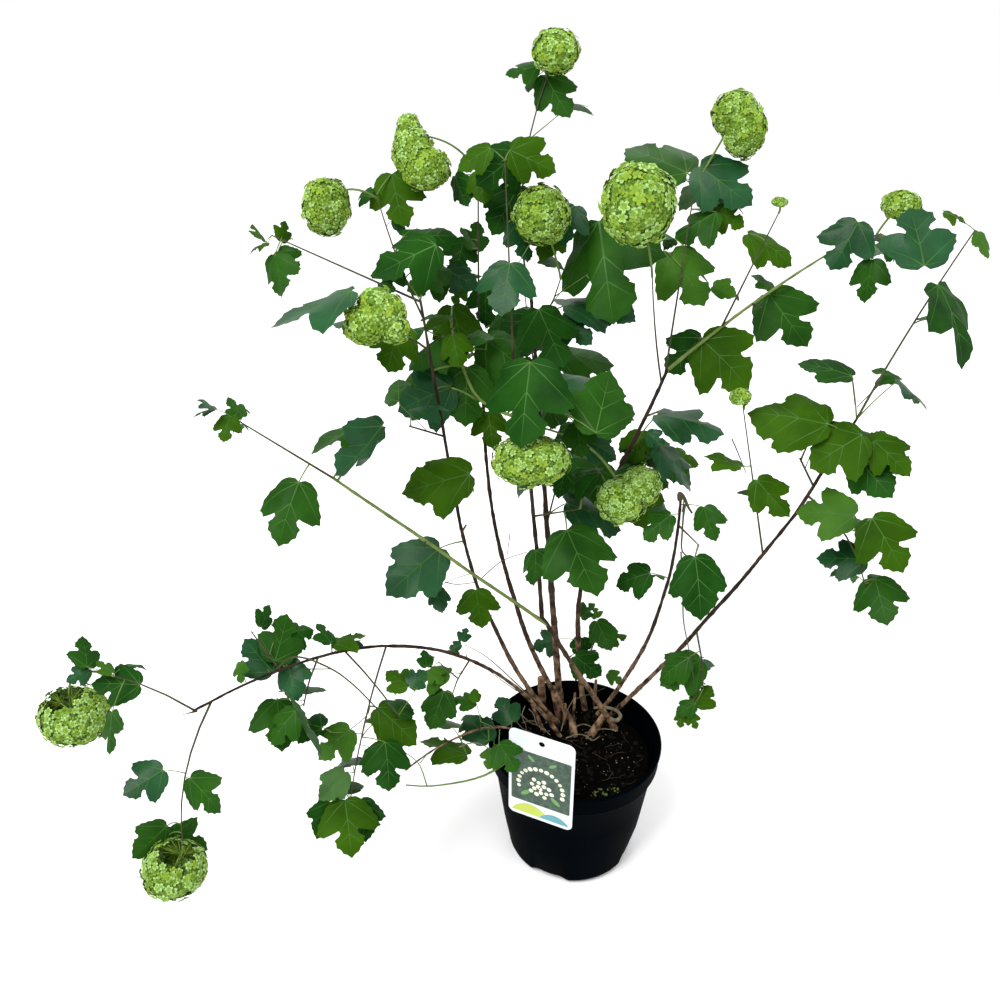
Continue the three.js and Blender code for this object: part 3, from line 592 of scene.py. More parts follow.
def has_room(pose, room):
    middle, length = pose["middle"], pose["length"]
    if np.linalg.norm(limb_marks - middle, axis=1).min() <= room["limbs"] * length:
        return False
    for other, other_length in leaf_marks:
        if np.linalg.norm(other - middle) <= room["leaves"] * (length + other_length):
            return False
    for other, width in head_marks:
        if np.linalg.norm(other - middle) <= room["flowers"] * length + width / 2:
            return False
    return True


print("marks on the limbs:", len(limb_marks))

# %% [markdown]
# Pairs of leaves follow each other up a shoot, each a quarter turn from the last and a little smaller.
# A side twig leaves its shoot to the left or right and ends in one pair.

# %% Leaves in pairs
LEAF_TRIES = 9
TIP_LEAF_SHARE = 0.55
LEAF_SIZE_SPREAD = 0.12
FIRST_PAIR, LAST_PAIR = 0.35, 0.97
SIDE_TWIG = dict(first=0.3, stretch=0.35, turn=50, turn_spread=40, reach=0.5, rise=0.5, leaf=0.8)
SIDE_TWIG_GIRTH = 3.4


def leaf_poses(shoot, pairs, leaf, turn, draw, room=LEAF_ROOM):
    """Leaves in opposite pairs up a shoot, each pair a quarter turn from the last."""
    poses = []
    for pair in range(pairs):
        share = pair / (pairs - 1) if pairs > 1 else 0
        t = FIRST_PAIR + (LAST_PAIR - FIRST_PAIR) * share if pairs > 1 else LAST_PAIR
        size = leaf * (1 - (1 - TIP_LEAF_SHARE) * share)
        for half in (0, 1):
            angle = math.radians(turn + 90 * pair + 180 * half)
            length = size * (1 + LEAF_SIZE_SPREAD * (2 * draw() - 1))
            for _ in range(LEAF_TRIES):
                pose = leaf_pose(shoot, t, angle, length, draw)
                if has_room(pose, room):
                    leaf_marks.append((pose["middle"], length))
                    poses.append({**pose, "share": share, "mass": shoot["name"]})
                    break
    return poses


def side_twig(shoot, draw, sizes):
    at = sizes["first"] + sizes["stretch"] * draw()
    hand = math.copysign(1, draw() - 0.5)
    return {
        **PLAIN_LIMB,
        "name": shoot["name"],
        "heading": shoot["heading"] + hand * (sizes["turn"] + sizes["turn_spread"] * draw()),
        "reach": sizes["reach"] * shoot["leaf"],
        "rise": sizes["rise"] * shoot["leaf"] * draw(),
        "girth": (SIDE_TWIG_GIRTH, TWIG_GIRTH[1]),
        "start": axis_point(shoot, at),
        "stretches": 2,
    }


print("pairs stand from", FIRST_PAIR, "to", LAST_PAIR, "of a shoot")

# %% [markdown]
# With these helpers the whole crown grows. Shoots and flower stalks come first, because the leaves have
# to keep clear of every head.

# %% Grow the shoots
STALK_SINK = 4
HEAD_CORNERS = 42  # dice that the solid heads use up

shoots = []
stalks = {}
dice = {}
for mass in MASSES:
    name = mass["name"]
    dice[name] = seeded_draw(name)
    shoot = {**in_stretches(mass, TWIG_STEP), "start": start_of(mass), "girth": TWIG_GIRTH}
    if name in HEADS:
        tip = limb_point(shoot, 1) - limb_tangent(shoot, 1) * STALK_SINK
        girth = (TWIG_GIRTH[1], TWIG_GIRTH[1])
        stalks[name] = {**PLAIN_LIMB, **HEADS[name], "start": tip, "girth": girth, "stretches": 3}
        head_marks.append((limb_point(stalks[name], 1), HEADS[name]["width"]))
    for _ in range(HEAD_CORNERS):
        dice[name]()
    shoots.append(shoot)

twigs = []
poses = []
for shoot in shoots:
    draw = dice[shoot["name"]]
    poses += leaf_poses(shoot, shoot["pairs"], shoot["leaf"], shoot["turn"], draw)
    for _ in range(shoot["twigs"]):
        twig = side_twig(shoot, draw, SIDE_TWIG)
        twigs.append(twig)
        poses += leaf_poses(twig, 1, SIDE_TWIG["leaf"] * shoot["leaf"], 0, draw)
print("shoots:", len(shoots), "side twigs:", len(twigs), "leaves of the plan:", len(poses))

# %% [markdown]
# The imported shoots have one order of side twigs. A living shrub has a finer order on them, so each
# mass gets a few thin twigs more, with small leaves, inside the reach of its large ones. They have
# dice of their own and take only the room that is left.

# %% Finer twigs inside each mass
FINE_TWIG = dict(first=0.2, stretch=0.6, turn=35, turn_spread=50, reach=0.45, rise=0.5, leaf=0.55)
FINE_ROOM = dict(leaves=0.30, limbs=0.12, flowers=0.25)
FINE_TWIGS_EACH = 2
BARE_MASSES = {"hanging_leaf", "right_bud", "dark_bud", "green_middle", "left_end", "left_drop"}

fine_twigs = []
for shoot in shoots:
    if shoot["name"] in BARE_MASSES:
        continue
    draw = seeded_draw(shoot["name"] + "_fine")
    for _ in range(FINE_TWIGS_EACH):
        twig = {**side_twig(shoot, draw, FINE_TWIG), "girth": (2.2, 1.6)}
        leaf = FINE_TWIG["leaf"] * shoot["leaf"] * (0.8 + 0.4 * draw())
        grown = leaf_poses(twig, 1, leaf, 90 * draw(), draw, FINE_ROOM)
        poses += [{**pose, "share": 1} for pose in grown]
        if grown:
            fine_twigs.append(twig)
print("finer twigs:", len(fine_twigs), "leaves now:", len(poses))

# %% [markdown]
# ## The leaf
# A blade has three broad lobes with coarse teeth and rounded bays between the lobes. Half of its
# outline is drawn as one flat face. Bisecting planes cut it across a few times, so that it can
# bend, and in pairs where a vein runs, so that each vein is a thin wedge that ends in a tooth. A
# mirrored copy is the other half. One skin is enough, as the material gives its back another green.

# %% One flat blade
LEAF_HALF = [  # along the midrib and across it, for a blade of length one, from stalk to tip
    (0, 0), (-0.05, 0.09), (-0.04, 0.20), (0.02, 0.31), (0.09, 0.375), (0.15, 0.390), (0.22, 0.465),
    (0.28, 0.480), (0.36, 0.555), (0.42, 0.560), (0.51, 0.610), (0.535, 0.54), (0.59, 0.50),
    (0.585, 0.42), (0.575, 0.34), (0.55, 0.27), (0.59, 0.235), (0.64, 0.26), (0.69, 0.325),
    (0.735, 0.285), (0.81, 0.270), (0.84, 0.195), (0.91, 0.150), (0.935, 0.075), (1, 0),
]
BAY = (0.55, 0.27)
BAY_REACH = 0.03
BAY_SHIFT = 0.3
MIDRIB = ((0, 0), (1, 0), 0.010)
VEINS = [  # from the midrib to a tooth, and half a strip's width; the first runs to the side lobe
    ((0, 0), (0.51, 0.61), 0.008),
    ((0, 0), (0.09, 0.375), 0.006),
    ((0.34, 0), (0.69, 0.325), 0.006),
    ((0.58, 0), (0.81, 0.270), 0.005),
]
BEND_CUTS = [0.14, 0.36, 0.60, 0.84]
SIDE_CUT = 0.21
CLOSE = 1e-5  # corners of a blade this near to each other are one
TOP, VEIN = range(2)


def reshaped(point, stretch, bay):
    """A point of the outline on a wider or narrower leaf, with deeper or shallower bays."""
    x, y = point
    near = math.exp(-((x - BAY[0]) ** 2 + (y - BAY[1]) ** 2) / BAY_REACH)
    return Vector((x - BAY_SHIFT * bay * near, y * stretch - bay * near))


def cut(bm, start, end, region=lambda face: True):
    """Cuts the plain faces of a region along the line through two points of the blade."""
    faces = [face for face in bm.faces if face.material_index == TOP and region(face)]
    parts = dict.fromkeys(part for face in faces for part in (face, *face.edges, *face.verts))
    across = Vector((end[1] - start[1], start[0] - end[0], 0))
    bmesh.ops.bisect_plane(bm, geom=list(parts), dist=CLOSE, plane_co=(*start, 0), plane_no=across)


def carve_vein(bm, start, end, width, region=lambda face: True):
    """Two cuts that meet at the vein's end, with the faces between them marked as vein."""
    along = end - start
    side = Vector((-along.y, along.x)).normalized()
    for hand in (1, -1):
        cut(bm, start + side * width * hand, end, region)
    for face in bm.faces:
        step = face.calc_center_median().xy - start
        share = step.dot(along) / along.length_squared
        if region(face) and 0 < share < 1 and abs(step.dot(side)) < width * (1 - share):
            face.material_index = VEIN


def leaf_blade(name, stretch, bay):
    bm = bmesh.new()
    bm.faces.new([bm.verts.new((*reshaped(point, stretch, bay), 0)) for point in reversed(LEAF_HALF)])
    for x in BEND_CUTS:
        cut(bm, (x, 0), (x, 1))
    cut(bm, (0, SIDE_CUT), (1, SIDE_CUT))
    lobe, base, *others = [
        (Vector(start), reshaped(end, stretch, bay), width) for start, end, width in VEINS
    ]

    def forward(face):
        return face.calc_center_median().xy.cross(lobe[1]) > 0

    carve_vein(bm, *(Vector(point) for point in MIDRIB[:2]), MIDRIB[2])
    carve_vein(bm, *lobe)
    carve_vein(bm, *base, lambda face: not forward(face))
    for vein in others:
        carve_vein(bm, *vein, forward)
    bmesh.ops.mirror(bm, geom=[*bm.faces, *bm.edges, *bm.verts], axis="Y", merge_dist=CLOSE)
    bmesh.ops.recalc_face_normals(bm, faces=bm.faces[:])
    bm.faces.ensure_lookup_table()
    if bm.faces[0].normal.z < 0:
        bmesh.ops.reverse_faces(bm, faces=bm.faces[:])
    for face in bm.faces:
        face.smooth = True
    veined = sum(face.material_index == VEIN for face in bm.faces)
    print(name, "blade:", len(bm.faces), "faces,", veined, "of them veins")
    return mesh_from(bm, name)


LEAF_SHAPES = {"broad": (1.0, 0.02), "narrow": (0.86, 0.04), "deep": (0.96, 0.085), "whole": (0.82, -0.09)}
blades = [leaf_blade(name, stretch, bay) for name, (stretch, bay) in LEAF_SHAPES.items()]

# %% [markdown]
# ## Listed leaves
# A grower's eye goes to the leaves that hang in front. These are set one by one: where the foot of
# the blade and its tip stand in the camera's view, in thousandths of the view's width from its top
# left corner, and how far the blade is rolled about its midrib. Each hangs on the wood of its part
# of the crown that passes nearest to that line of sight.

# %% The list of leaves
HAND_LEAVES = {  # the wood to hang on: then of each leaf its foot, tip, roll, and how much nearer it hangs
    "left_end left_drop low_arch": [
        (87, 667, 85, 636, 20), (112, 673, 97, 660, 30), (89, 669, 65, 683, 0), (112, 712, 108, 755, 50),
        (140, 685, 88, 681, 0, -15), (163, 770, 122, 795, 0), (190, 778, 222, 812, 25),
        (167, 826, 127, 864, -20, -45), (168, 836, 213, 852, 40, -45),
    ],
    "low_arch arch_outer arch_drape under_arch": [
        (261, 627, 271, 604, 40), (287, 661, 297, 704, 30), (275, 661, 290, 612, 0),
        (273, 672, 242, 637, 10), (288, 694, 318, 764, 96, 16), (277, 700, 284, 757, 0),
        (332, 644, 369, 629, -40), (331, 643, 316, 622, 40), (240, 662, 238, 684, 60),
    ],
    "under_arch low_drape arch_inner low_shoot arch_drape": [
        (350, 729, 316, 757, 0), (345, 772, 318, 802, 150), (330, 802, 316, 838, -15),
        (345, 800, 352, 857, 0), (360, 800, 363, 845, 40), (408, 687, 386, 669, 0), (409, 685, 427, 670, 0),
        (427, 667, 424, 648, 0), (430, 669, 444, 684, 0), (467, 755, 419, 733, 30), (385, 742, 392, 791, 0),
        (372, 748, 366, 778, 30), (444, 691, 430, 731, 0), (378, 708, 424, 744, 0),
    ],
    "low_shoot low_shoot_tip arch_inner": [
        (476, 702, 450, 695, 30), (476, 702, 473, 687, 0), (489, 741, 466, 710, 0), (494, 750, 486, 769, 0),
        (512, 722, 499, 694, 0), (499, 744, 518, 772, 0, 60), (462, 641, 467, 626, 0),
        (461, 644, 448, 648, 0),
    ],
    "green_shoot green_tip green_middle": [
        (299, 482, 273, 543, 0), (243, 417, 226, 397, 30), (230, 416, 222, 441, 0), (215, 409, 191, 413, 60),
        (215, 409, 196, 397, 60), (379, 420, 303, 437, 58), (382, 426, 336, 485, -64),
    ],
    "left_twig": [
        (281, 241, 288, 218, 30), (275, 255, 284, 296, 35), (278, 251, 298, 275, 30),
        (268, 243, 247, 250, 60), (266, 242, 252, 221, 60),
    ],
    "left_upper left_stem left_side left_fork left_bloom": [
        (352, 291, 270, 322, 50, 8), (400, 325, 383, 372, 0), (436, 245, 374, 270, 20),
        (392, 262, 383, 296, 0), (440, 548, 385, 594, 0), (436, 588, 442, 613, 0), (476, 590, 481, 629, 0),
        (470, 474, 397, 490, 0, 25), (467, 367, 465, 429, 0, -48), (452, 387, 386, 410, 0),
    ],
    "upper_left_bloom": [
        (392, 174, 401, 229, 0),
    ],
    "upper_left_bloom dome_bloom centre_top inner_upper inner_front": [
        (473, 249, 461, 226, 40), (475, 249, 481, 218, 40), (446, 272, 408, 293, 0), (447, 270, 480, 287, 0),
        (463, 287, 452, 303, 0), (490, 148, 455, 167, 20), (455, 176, 467, 208, 60), (510, 263, 500, 314, 0),
        (519, 221, 531, 273, 0), (575, 206, 553, 250, 0), (556, 226, 538, 264, 0, -10),
        (464, 240, 455, 272, 0, -20), (487, 286, 482, 328, 0, -30), (510, 150, 557, 172, 20),
        (519, 152, 476, 189, 0), (519, 186, 484, 246, 0, -20),
    ],
    "top_bloom": [
        (537, 66, 505, 73, 30), (545, 75, 568, 119, 0),
    ],
    "centre_stem front_bloom inner_front centre_low centre_bloom dome_bloom": [
        (599, 295, 638, 319, 0), (564, 472, 560, 498, 0), (586, 439, 619, 458, 0, -8),
        (536, 550, 535, 585, 30), (594, 465, 609, 552, 0, -76), (567, 530, 595, 595, 0),
        (539, 309, 565, 373, 0), (528, 314, 501, 337, 0, -20), (562, 317, 593, 343, 0, -15),
        (577, 424, 581, 460, 0, -60), (488, 412, 493, 449, 0, -40), (452, 306, 471, 366, 0, -40),
        (599, 221, 613, 322, 42, 12), (596, 433, 611, 365, 0, 12), (530, 362, 521, 452, 0, 25),
    ],
    "right_upper big_bloom kidney_bloom right_front right_bud long_right": [
        (687, 173, 622, 139, 25), (716, 212, 672, 238, 30), (716, 211, 747, 226, 20),
        (700, 166, 751, 207, 0), (672, 252, 706, 306, 0), (713, 286, 738, 296, 50),
        (748, 234, 804, 260, -48), (702, 340, 755, 384, 10), (702, 338, 663, 374, 0),
    ],
    "long_right right_tip right_middle": [
        (773, 289, 752, 271, 40), (769, 294, 810, 352, 0), (872, 260, 866, 302, 10), (858, 222, 833, 272, 0),
        (924, 266, 914, 198, 0, 14),
    ],
    "far_right_twig": [
        (938, 285, 986, 360, -50, 8), (944, 212, 969, 220, -50), (979, 232, 989, 258, -50),
    ],
    "far_right_stem far_right_upper far_right_front far_right_drape far_right_back": [
        (852, 376, 799, 356, 44), (899, 380, 874, 363, 40), (899, 380, 934, 410, -62),
        (862, 435, 806, 466, 0), (828, 424, 741, 406, 20), (874, 441, 912, 473, 0), (856, 456, 892, 500, 0),
        (855, 515, 794, 510, 0), (866, 560, 814, 554, 0), (872, 518, 907, 571, 0), (875, 579, 887, 625, 0),
    ],
    "dark_bud far_right_stem": [
        (757, 480, 788, 519, 0), (741, 467, 704, 448, 45),
    ],
    "right_back_stem right_under heart_bloom broken_stem hanging_leaf centre_low": [
        (658, 414, 728, 428, -42), (650, 573, 613, 582, 0), (641, 431, 632, 463, 0, -20),
        (660, 446, 698, 488, -44), (647, 433, 664, 447, 30), (671, 515, 640, 537, 20),
        (704, 507, 713, 542, 10), (695, 557, 706, 624, 0),
    ],
    "right_hanging": [
        (700, 660, 656, 686, 0), (696, 705, 713, 685, 0), (695, 704, 675, 715, 0), (682, 714, 679, 728, 0),
        (690, 714, 698, 729, 0),
    ],
    "base_shoot right_back_stem": [
        (558, 639, 530, 647, 0), (572, 649, 594, 639, 0), (597, 621, 610, 652, 0), (575, 656, 602, 679, 0),
        (608, 673, 623, 682, 0), (581, 617, 597, 603, 40),
    ],
}
print("parts of the crown with such leaves:", len(HAND_LEAVES))

# %% [markdown]
# A line of sight runs from the eye through the foot's place. The blade's foot is put on it beside the
# nearest wood, and the tip where its own line meets a plane that faces the viewer and the sky.

# %% From the view to the wood
VIEW_SHARE = 1000
WOOD_MARKS = 60
FACING = dict(viewer=0.80, sky=0.40, spread=0.30)
BLADE_AHEAD = 0.012  # how far a blade stands before its wood, as a share of its distance
HAND_GROWTH = 1.02  # makes good what a blade loses in length by its bend

view_rows = np.array(camera.rotation_euler.to_matrix())
EYE = np.array(CAMERA_PLACE) / MM


def sight(place):
    """The line of sight through a place in the view, one long at its middle."""
    across, down = (place[0] / VIEW_SHARE - 0.5), (0.5 - place[1] / VIEW_SHARE)
    return view_rows @ np.array([across, down, -1.0])


def wood_marks(names):
    marks = []
    for limb in [*shoots, *twigs, *fine_twigs, *limbs.values()]:
        if limb["name"] in names:
            marks += [axis_point(limb, t) for t in np.linspace(0.05, 1, WOOD_MARKS)]
    return np.array(marks)


def hand_pose(names, foot, tip, roll, nearer=0, draw=None):
    """A leaf's pose from its place in the view and the wood nearest to it."""
    ray, tip_ray = sight(foot), sight(tip)
    marks = wood_marks(names)
    depths = (marks - EYE) @ ray / (ray @ ray)
    gaps = np.linalg.norm(marks - EYE - depths[:, None] * ray, axis=1)
    nearest = int(gaps.argmin())
    root, base = marks[nearest], EYE + ray * (depths[nearest] - BLADE_AHEAD)
    jitter = centred_draws(draw) * FACING["spread"]
    facing = unit(unit(-ray) * FACING["viewer"] + UP * FACING["sky"] + jitter)
    end = EYE + tip_ray * np.dot(base - EYE, facing) / np.dot(tip_ray, facing)
    midrib, length = unit(end - base), float(np.linalg.norm(end - base)) * HAND_GROWTH
    across = turned(unit(np.cross(facing, midrib)), midrib, math.radians(roll))
    normal = np.cross(midrib, across)
    return dict(root=root, base=base, middle=base + midrib * BLADE_CENTRE * length, length=length,
                frame=np.array([midrib, across, normal]), mass=names[0], share=1, ray=unit(ray),
                nearer=nearer)


hand_draw = seeded_draw("hand")
hand_poses = [
    hand_pose(names.split(), leaf[:2], leaf[2:4], *leaf[4:], draw=hand_draw)
    for names, leaves in HAND_LEAVES.items() for leaf in leaves
]
longest = max(float(np.linalg.norm(pose["base"] - pose["root"])) for pose in hand_poses)
print("leaves set by hand:", len(hand_poses), "longest stalk", round(longest), "mm")

# %% [markdown]
# A flower head is seldom a plain ball. Each is made of one or more rounded lobes, given by their
# middles, measured from the end of the stalk, and by their half widths along the three axes.

# %% Forms of the flower heads
HEAD_FORMS = {
    "left_end": [((-9, 0, 0), (44, 40, 35))],
    "left_drop": [((-9, 2, 4), (41, 39, 34))],
    "left_bloom": [((10, 5, 9), (23, 22, 22)), ((20, 15, 27), (19, 18, 16)), ((33, 10, 20), (17, 16, 18)),
                   ((38, 2, 4), (16, 15, 15)), ((24, 7, 14), (22, 20, 20))],
    "upper_left_bloom": [((4, 3, 5), (28, 28, 34))],
    "dome_bloom": [((-13, 14, 30), (16, 16, 25)), ((-10, 7, 14), (23, 22, 30)), ((5, -2, -2), (29, 25, 25))],
    "top_bloom": [((-8, -3, -6), (26, 26, 23))],
    "centre_bloom": [((-15, 13, 24), (33, 33, 33))],
    "front_bloom": [((-10, -5, -9), (45, 36, 28))],
    "big_bloom": [((-12, 10, 18), (40, 41, 43))],
    "kidney_bloom": [((-3, 14, 27), (29, 27, 29)), ((7, 6, 11), (27, 26, 33))],
    "heart_bloom": [((-6, 6, 10), (31, 30, 29)), ((16, 13, 24), (26, 26, 28))],
    "right_tip": [((-4, 3, 6), (24, 24, 18))],
    "right_bud": [((-5, 2, 4), (10, 10, 6))],
    "dark_bud": [((-10, 2, 4), (13, 12, 10))],
}


def head_lobes(name):
    """The middle and the half widths of each lobe of a head, in millimetres."""
    end = limb_point(stalks[name], 1)
    return [(end + np.array(offset, float), np.array(half, float)) for offset, half in HEAD_FORMS[name]]


all_lobes = [lobe for name in HEADS for lobe in head_lobes(name)]
print("heads:", len(HEAD_FORMS), "with lobes:", len(all_lobes))

# %% [markdown]
# ## Stems and boughs
# Every tube is a curve with a radius at each point, turned into a mesh, which is quicker than a skin or
# a row of spun rings.

# %% Tubes along a path


def mesh_of_curve(curve):
    """The mesh of a curve, which is removed."""
    carrier = bpy.data.objects.new("carrier", curve)
    mesh = bpy.data.meshes.new_from_object(carrier)
    bpy.data.objects.remove(carrier)
    bpy.data.curves.remove(curve)
    return mesh


def corners(mesh):
    flat = np.empty(len(mesh.vertices) * 3)
    mesh.vertices.foreach_get("co", flat)
    return flat.reshape(-1, 3)


def triangles(mesh):
    return sum(len(face.vertices) - 2 for face in mesh.polygons)


def tube_mesh(name, paths, resolution):
    """A mesh of round tubes; each path is a list of points and a radius at each, in millimetres."""
    curve = bpy.data.curves.new(name, "CURVE")
    curve.dimensions = "3D"
    curve.bevel_depth = 1
    curve.bevel_resolution = resolution
    curve.use_fill_caps = True
    for points, radii in paths:
        spline = curve.splines.new("POLY")
        spline.points.add(len(points) - 1)
        spline.points.foreach_set("co", np.c_[np.array(points) * MM, np.ones(len(points))].ravel())
        spline.points.foreach_set("radius", np.array(radii, float) * MM)
    bm = bmesh.new()
    bm.from_mesh(mesh_of_curve(curve))
    bmesh.ops.remove_doubles(bm, verts=bm.verts[:], dist=1e-6)
    for face in bm.faces:
        face.smooth = True
    return mesh_from(bm, name)


def new_piece(name, mesh, slot, materials, *nodes):
    """An object that rides on the plant, takes a finish and stands for the named solids."""
    mesh.name = name
    for material in materials:
        mesh.materials.append(material)
    piece = linked(name, mesh)
    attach(piece, "root")
    if nodes:
        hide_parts(*nodes)
    return piece


# %% [markdown]
# Old stems swell a little where leaves once stood, and widen at the foot. Then each corner is pushed in
# or out by noise, so that the bark has real relief and not only a bump in its finish.

# %% The form of a bough
BOUGH_RINGS = 4.0  # millimetres between rings
NODE_STEP = (44, 68)
NODE_SWELL = dict(share=0.14, length=4.5)
NODE_ENDS = (20.0, 8)  # bare length at a stem's foot and tip
SLIMNESS = (0.74, 0.66)  # of the foot and the tip of a limb, under its bark
SLIM_LIMBS = {"low_arch": 0.70, "green_shoot": 1.30}
SWAY = dict(size=90, most=1.6)
noise.seed_set(7)  # without it the noise vector starts from the clock, and no two runs agree
BARK_FLARE = dict(share=0.2, length=22)
BARK_LUMPS = ((11.0, 0.075), (3.2, 0.05))  # size in millimetres, and depth as a share of the radius
FOOT_DEPTH = 9
FOOT_SPREAD = 1.1
END_SHARE = 0.6  # how far a bough's end is drawn in, and how far it stands out


def limb_radius(limb, t):
    flare = max(0, 1 - t * limb_length(limb) / BARK_FLARE["length"]) if "foot" in limb else 0
    foot, tip = limb["girth"]
    slim = (SLIMNESS[0] + (SLIMNESS[1] - SLIMNESS[0]) * t) * SLIM_LIMBS.get(limb["name"], 1)
    return slim * (foot + (tip - foot) * t) * (1 + BARK_FLARE["share"] * flare) / 2


def node_places(limb, draw):
    """How far along a stem its old leaf scars stand, in millimetres."""
    places, at = [], NODE_ENDS[0]
    while at < limb_length(limb) - NODE_ENDS[1]:
        places.append(at)
        at += NODE_STEP[0] + (NODE_STEP[1] - NODE_STEP[0]) * draw()
    return np.array(places or [limb_length(limb) / 2])


def bough_path(limb):
    draw = seeded_draw(limb["name"] + "_bark")
    nodes = node_places(limb, draw)
    length = limb_length(limb)
    points, radii = [], []
    for t in np.linspace(0, 1, max(8, int(length / BOUGH_RINGS)) + 1):
        point = limb_point(limb, t)
        sway = np.array(noise.noise_vector(Vector(point / SWAY["size"]))) * SWAY["most"] * 4 * t * (1 - t)
        swell = NODE_SWELL["share"] * np.exp(-(((nodes - t * length) / NODE_SWELL["length"]) ** 2)).max()
        points.append(point + sway)
        radii.append(limb_radius(limb, t) * (1 + swell))
    if "foot" in limb:
        points.insert(0, points[0] - limb_tangent(limb, 0) * FOOT_DEPTH)
        radii.insert(0, radii[0] * FOOT_SPREAD)
    points.append(points[-1] + limb_tangent(limb, 1) * radii[-1] * END_SHARE)
    radii.append(radii[-1] * END_SHARE)
    return points, radii


def roughen(mesh, radius):
    """Pushes the corners of a mesh in and out by noise of a few sizes."""
    points = corners(mesh)
    normals = np.empty(len(mesh.vertices) * 3)
    mesh.vertex_normals.foreach_get("vector", normals)
    for size, depth in BARK_LUMPS:
        lumps = np.array([noise.noise(Vector(point / (size * MM))) for point in points])
        points = points + normals.reshape(-1, 3) * (lumps * depth * 2 * radius * MM)[:, None]
    mesh.vertices.foreach_set("co", points.ravel())


print("lumps of bark are", " and ".join(str(size) for size, depth in BARK_LUMPS), "mm long")

# %% [markdown]
# Bark changes with height: flaking and tan low down, dark and smooth above, and green at the top. Two
# masks over the height lead from one to the next. Two young limbs are green all over.

# %% Bark
BARK_ZONES = [  # between which heights each sets in, in metres, and its two colours
    (0.21, 0.38, (0.010, 0.005, 0.004), (0.042, 0.026, 0.016)),
    (0.74, 0.94, (0.022, 0.030, 0.010), (0.075, 0.095, 0.032)),
]


def bark_finish():
    """Flaking tan bark low down, dark and smooth bark above it, and green at the top of the shrub."""
    made = finish("bark", (0.034, 0.015, 0.008), (0.300, 0.190, 0.112), 0.78, scale=95.0, contrast=3.8,
                  grain=(420.0, 0.0010, 0.8), mirror=0.12)
    tree = made.node_tree
    colour = tree.nodes["Principled BSDF"].inputs["Base Color"]
    place = tree.nodes.new("ShaderNodeTexCoord")
    height = tree.nodes.new("ShaderNodeSeparateXYZ")
    tree.links.new(place.outputs["Object"], height.inputs[0])
    for low, high, dark, light in BARK_ZONES:
        zone = placed_group(tree, MOTTLE, Dark=(*dark, 1), Light=(*light, 1), Scale=55.0, Contrast=2.4)
        rise = tree.nodes.new("ShaderNodeMapRange")
        rise.inputs["From Min"].default_value = low
        rise.inputs["From Max"].default_value = high
        tree.links.new(height.outputs["Z"], rise.inputs["Value"])
        lower = colour.links[0].from_socket
        mix_colours(tree, rise.outputs["Result"], lower, zone.outputs["Color"], colour)
    return made


bark = bark_finish()
shoot_green = finish("shoot_green", (0.062, 0.100, 0.020), (0.170, 0.225, 0.062), 0.6, scale=50.0,
                     mirror=0.15)
GREEN_LIMBS = {"green_shoot", "long_right"}
wood_pieces = []
for name, limb in limbs.items():
    mesh = tube_mesh(name + "_bark", [bough_path(limb)], 2)
    roughen(mesh, sum(limb["girth"]) / 4)
    finishes = [shoot_green if name in GREEN_LIMBS else bark]
    wood_pieces.append(new_piece(name + "_bark", mesh, "bark", finishes, name))
print("boughs in bark:", len(wood_pieces), "triangles", sum(triangles(piece.data) for piece in wood_pieces))

# %% [markdown]
# The shoots and side twigs are slimmer tubes, here in one mesh that the blades must keep clear of. They
# follow the straight stretches of the plan, so that each leaf stalk starts from the wood.

# %% Shoots and twigs
SHOOT_RINGS = 3  # points on each stretch
SHOOT_SLIMNESS = 0.82
SHOOT_END = 0.4


def shoot_path(limb):
    steps = limb["stretches"] * SHOOT_RINGS
    shares = np.linspace(0, limb.get("end", 1), steps + 1)
    points = [axis_point(limb, t) for t in shares]
    radii = [limb_radius(limb, t) * SHOOT_SLIMNESS for t in shares]
    points.append(points[-1] + limb_tangent(limb, shares[-1]) * radii[-1])
    radii.append(radii[-1] * SHOOT_END)
    return points, radii


mass_names = [mass["name"] for mass in MASSES]
full_shoots = tube_mesh("full_shoots", [shoot_path(limb) for limb in shoots + twigs], 1)
print("shoots and twigs, not yet trimmed:", len(shoots + twigs), "faces:", len(full_shoots.polygons))

# %% [markdown]
# An old shrub is untidy at its foot. Stubs of cut stems, dead twigs and bent or broken ends are drawn
# one by one, as the leaves were: by places in the view, by how far back or how high their two ends
# are, and by their widths at both ends.

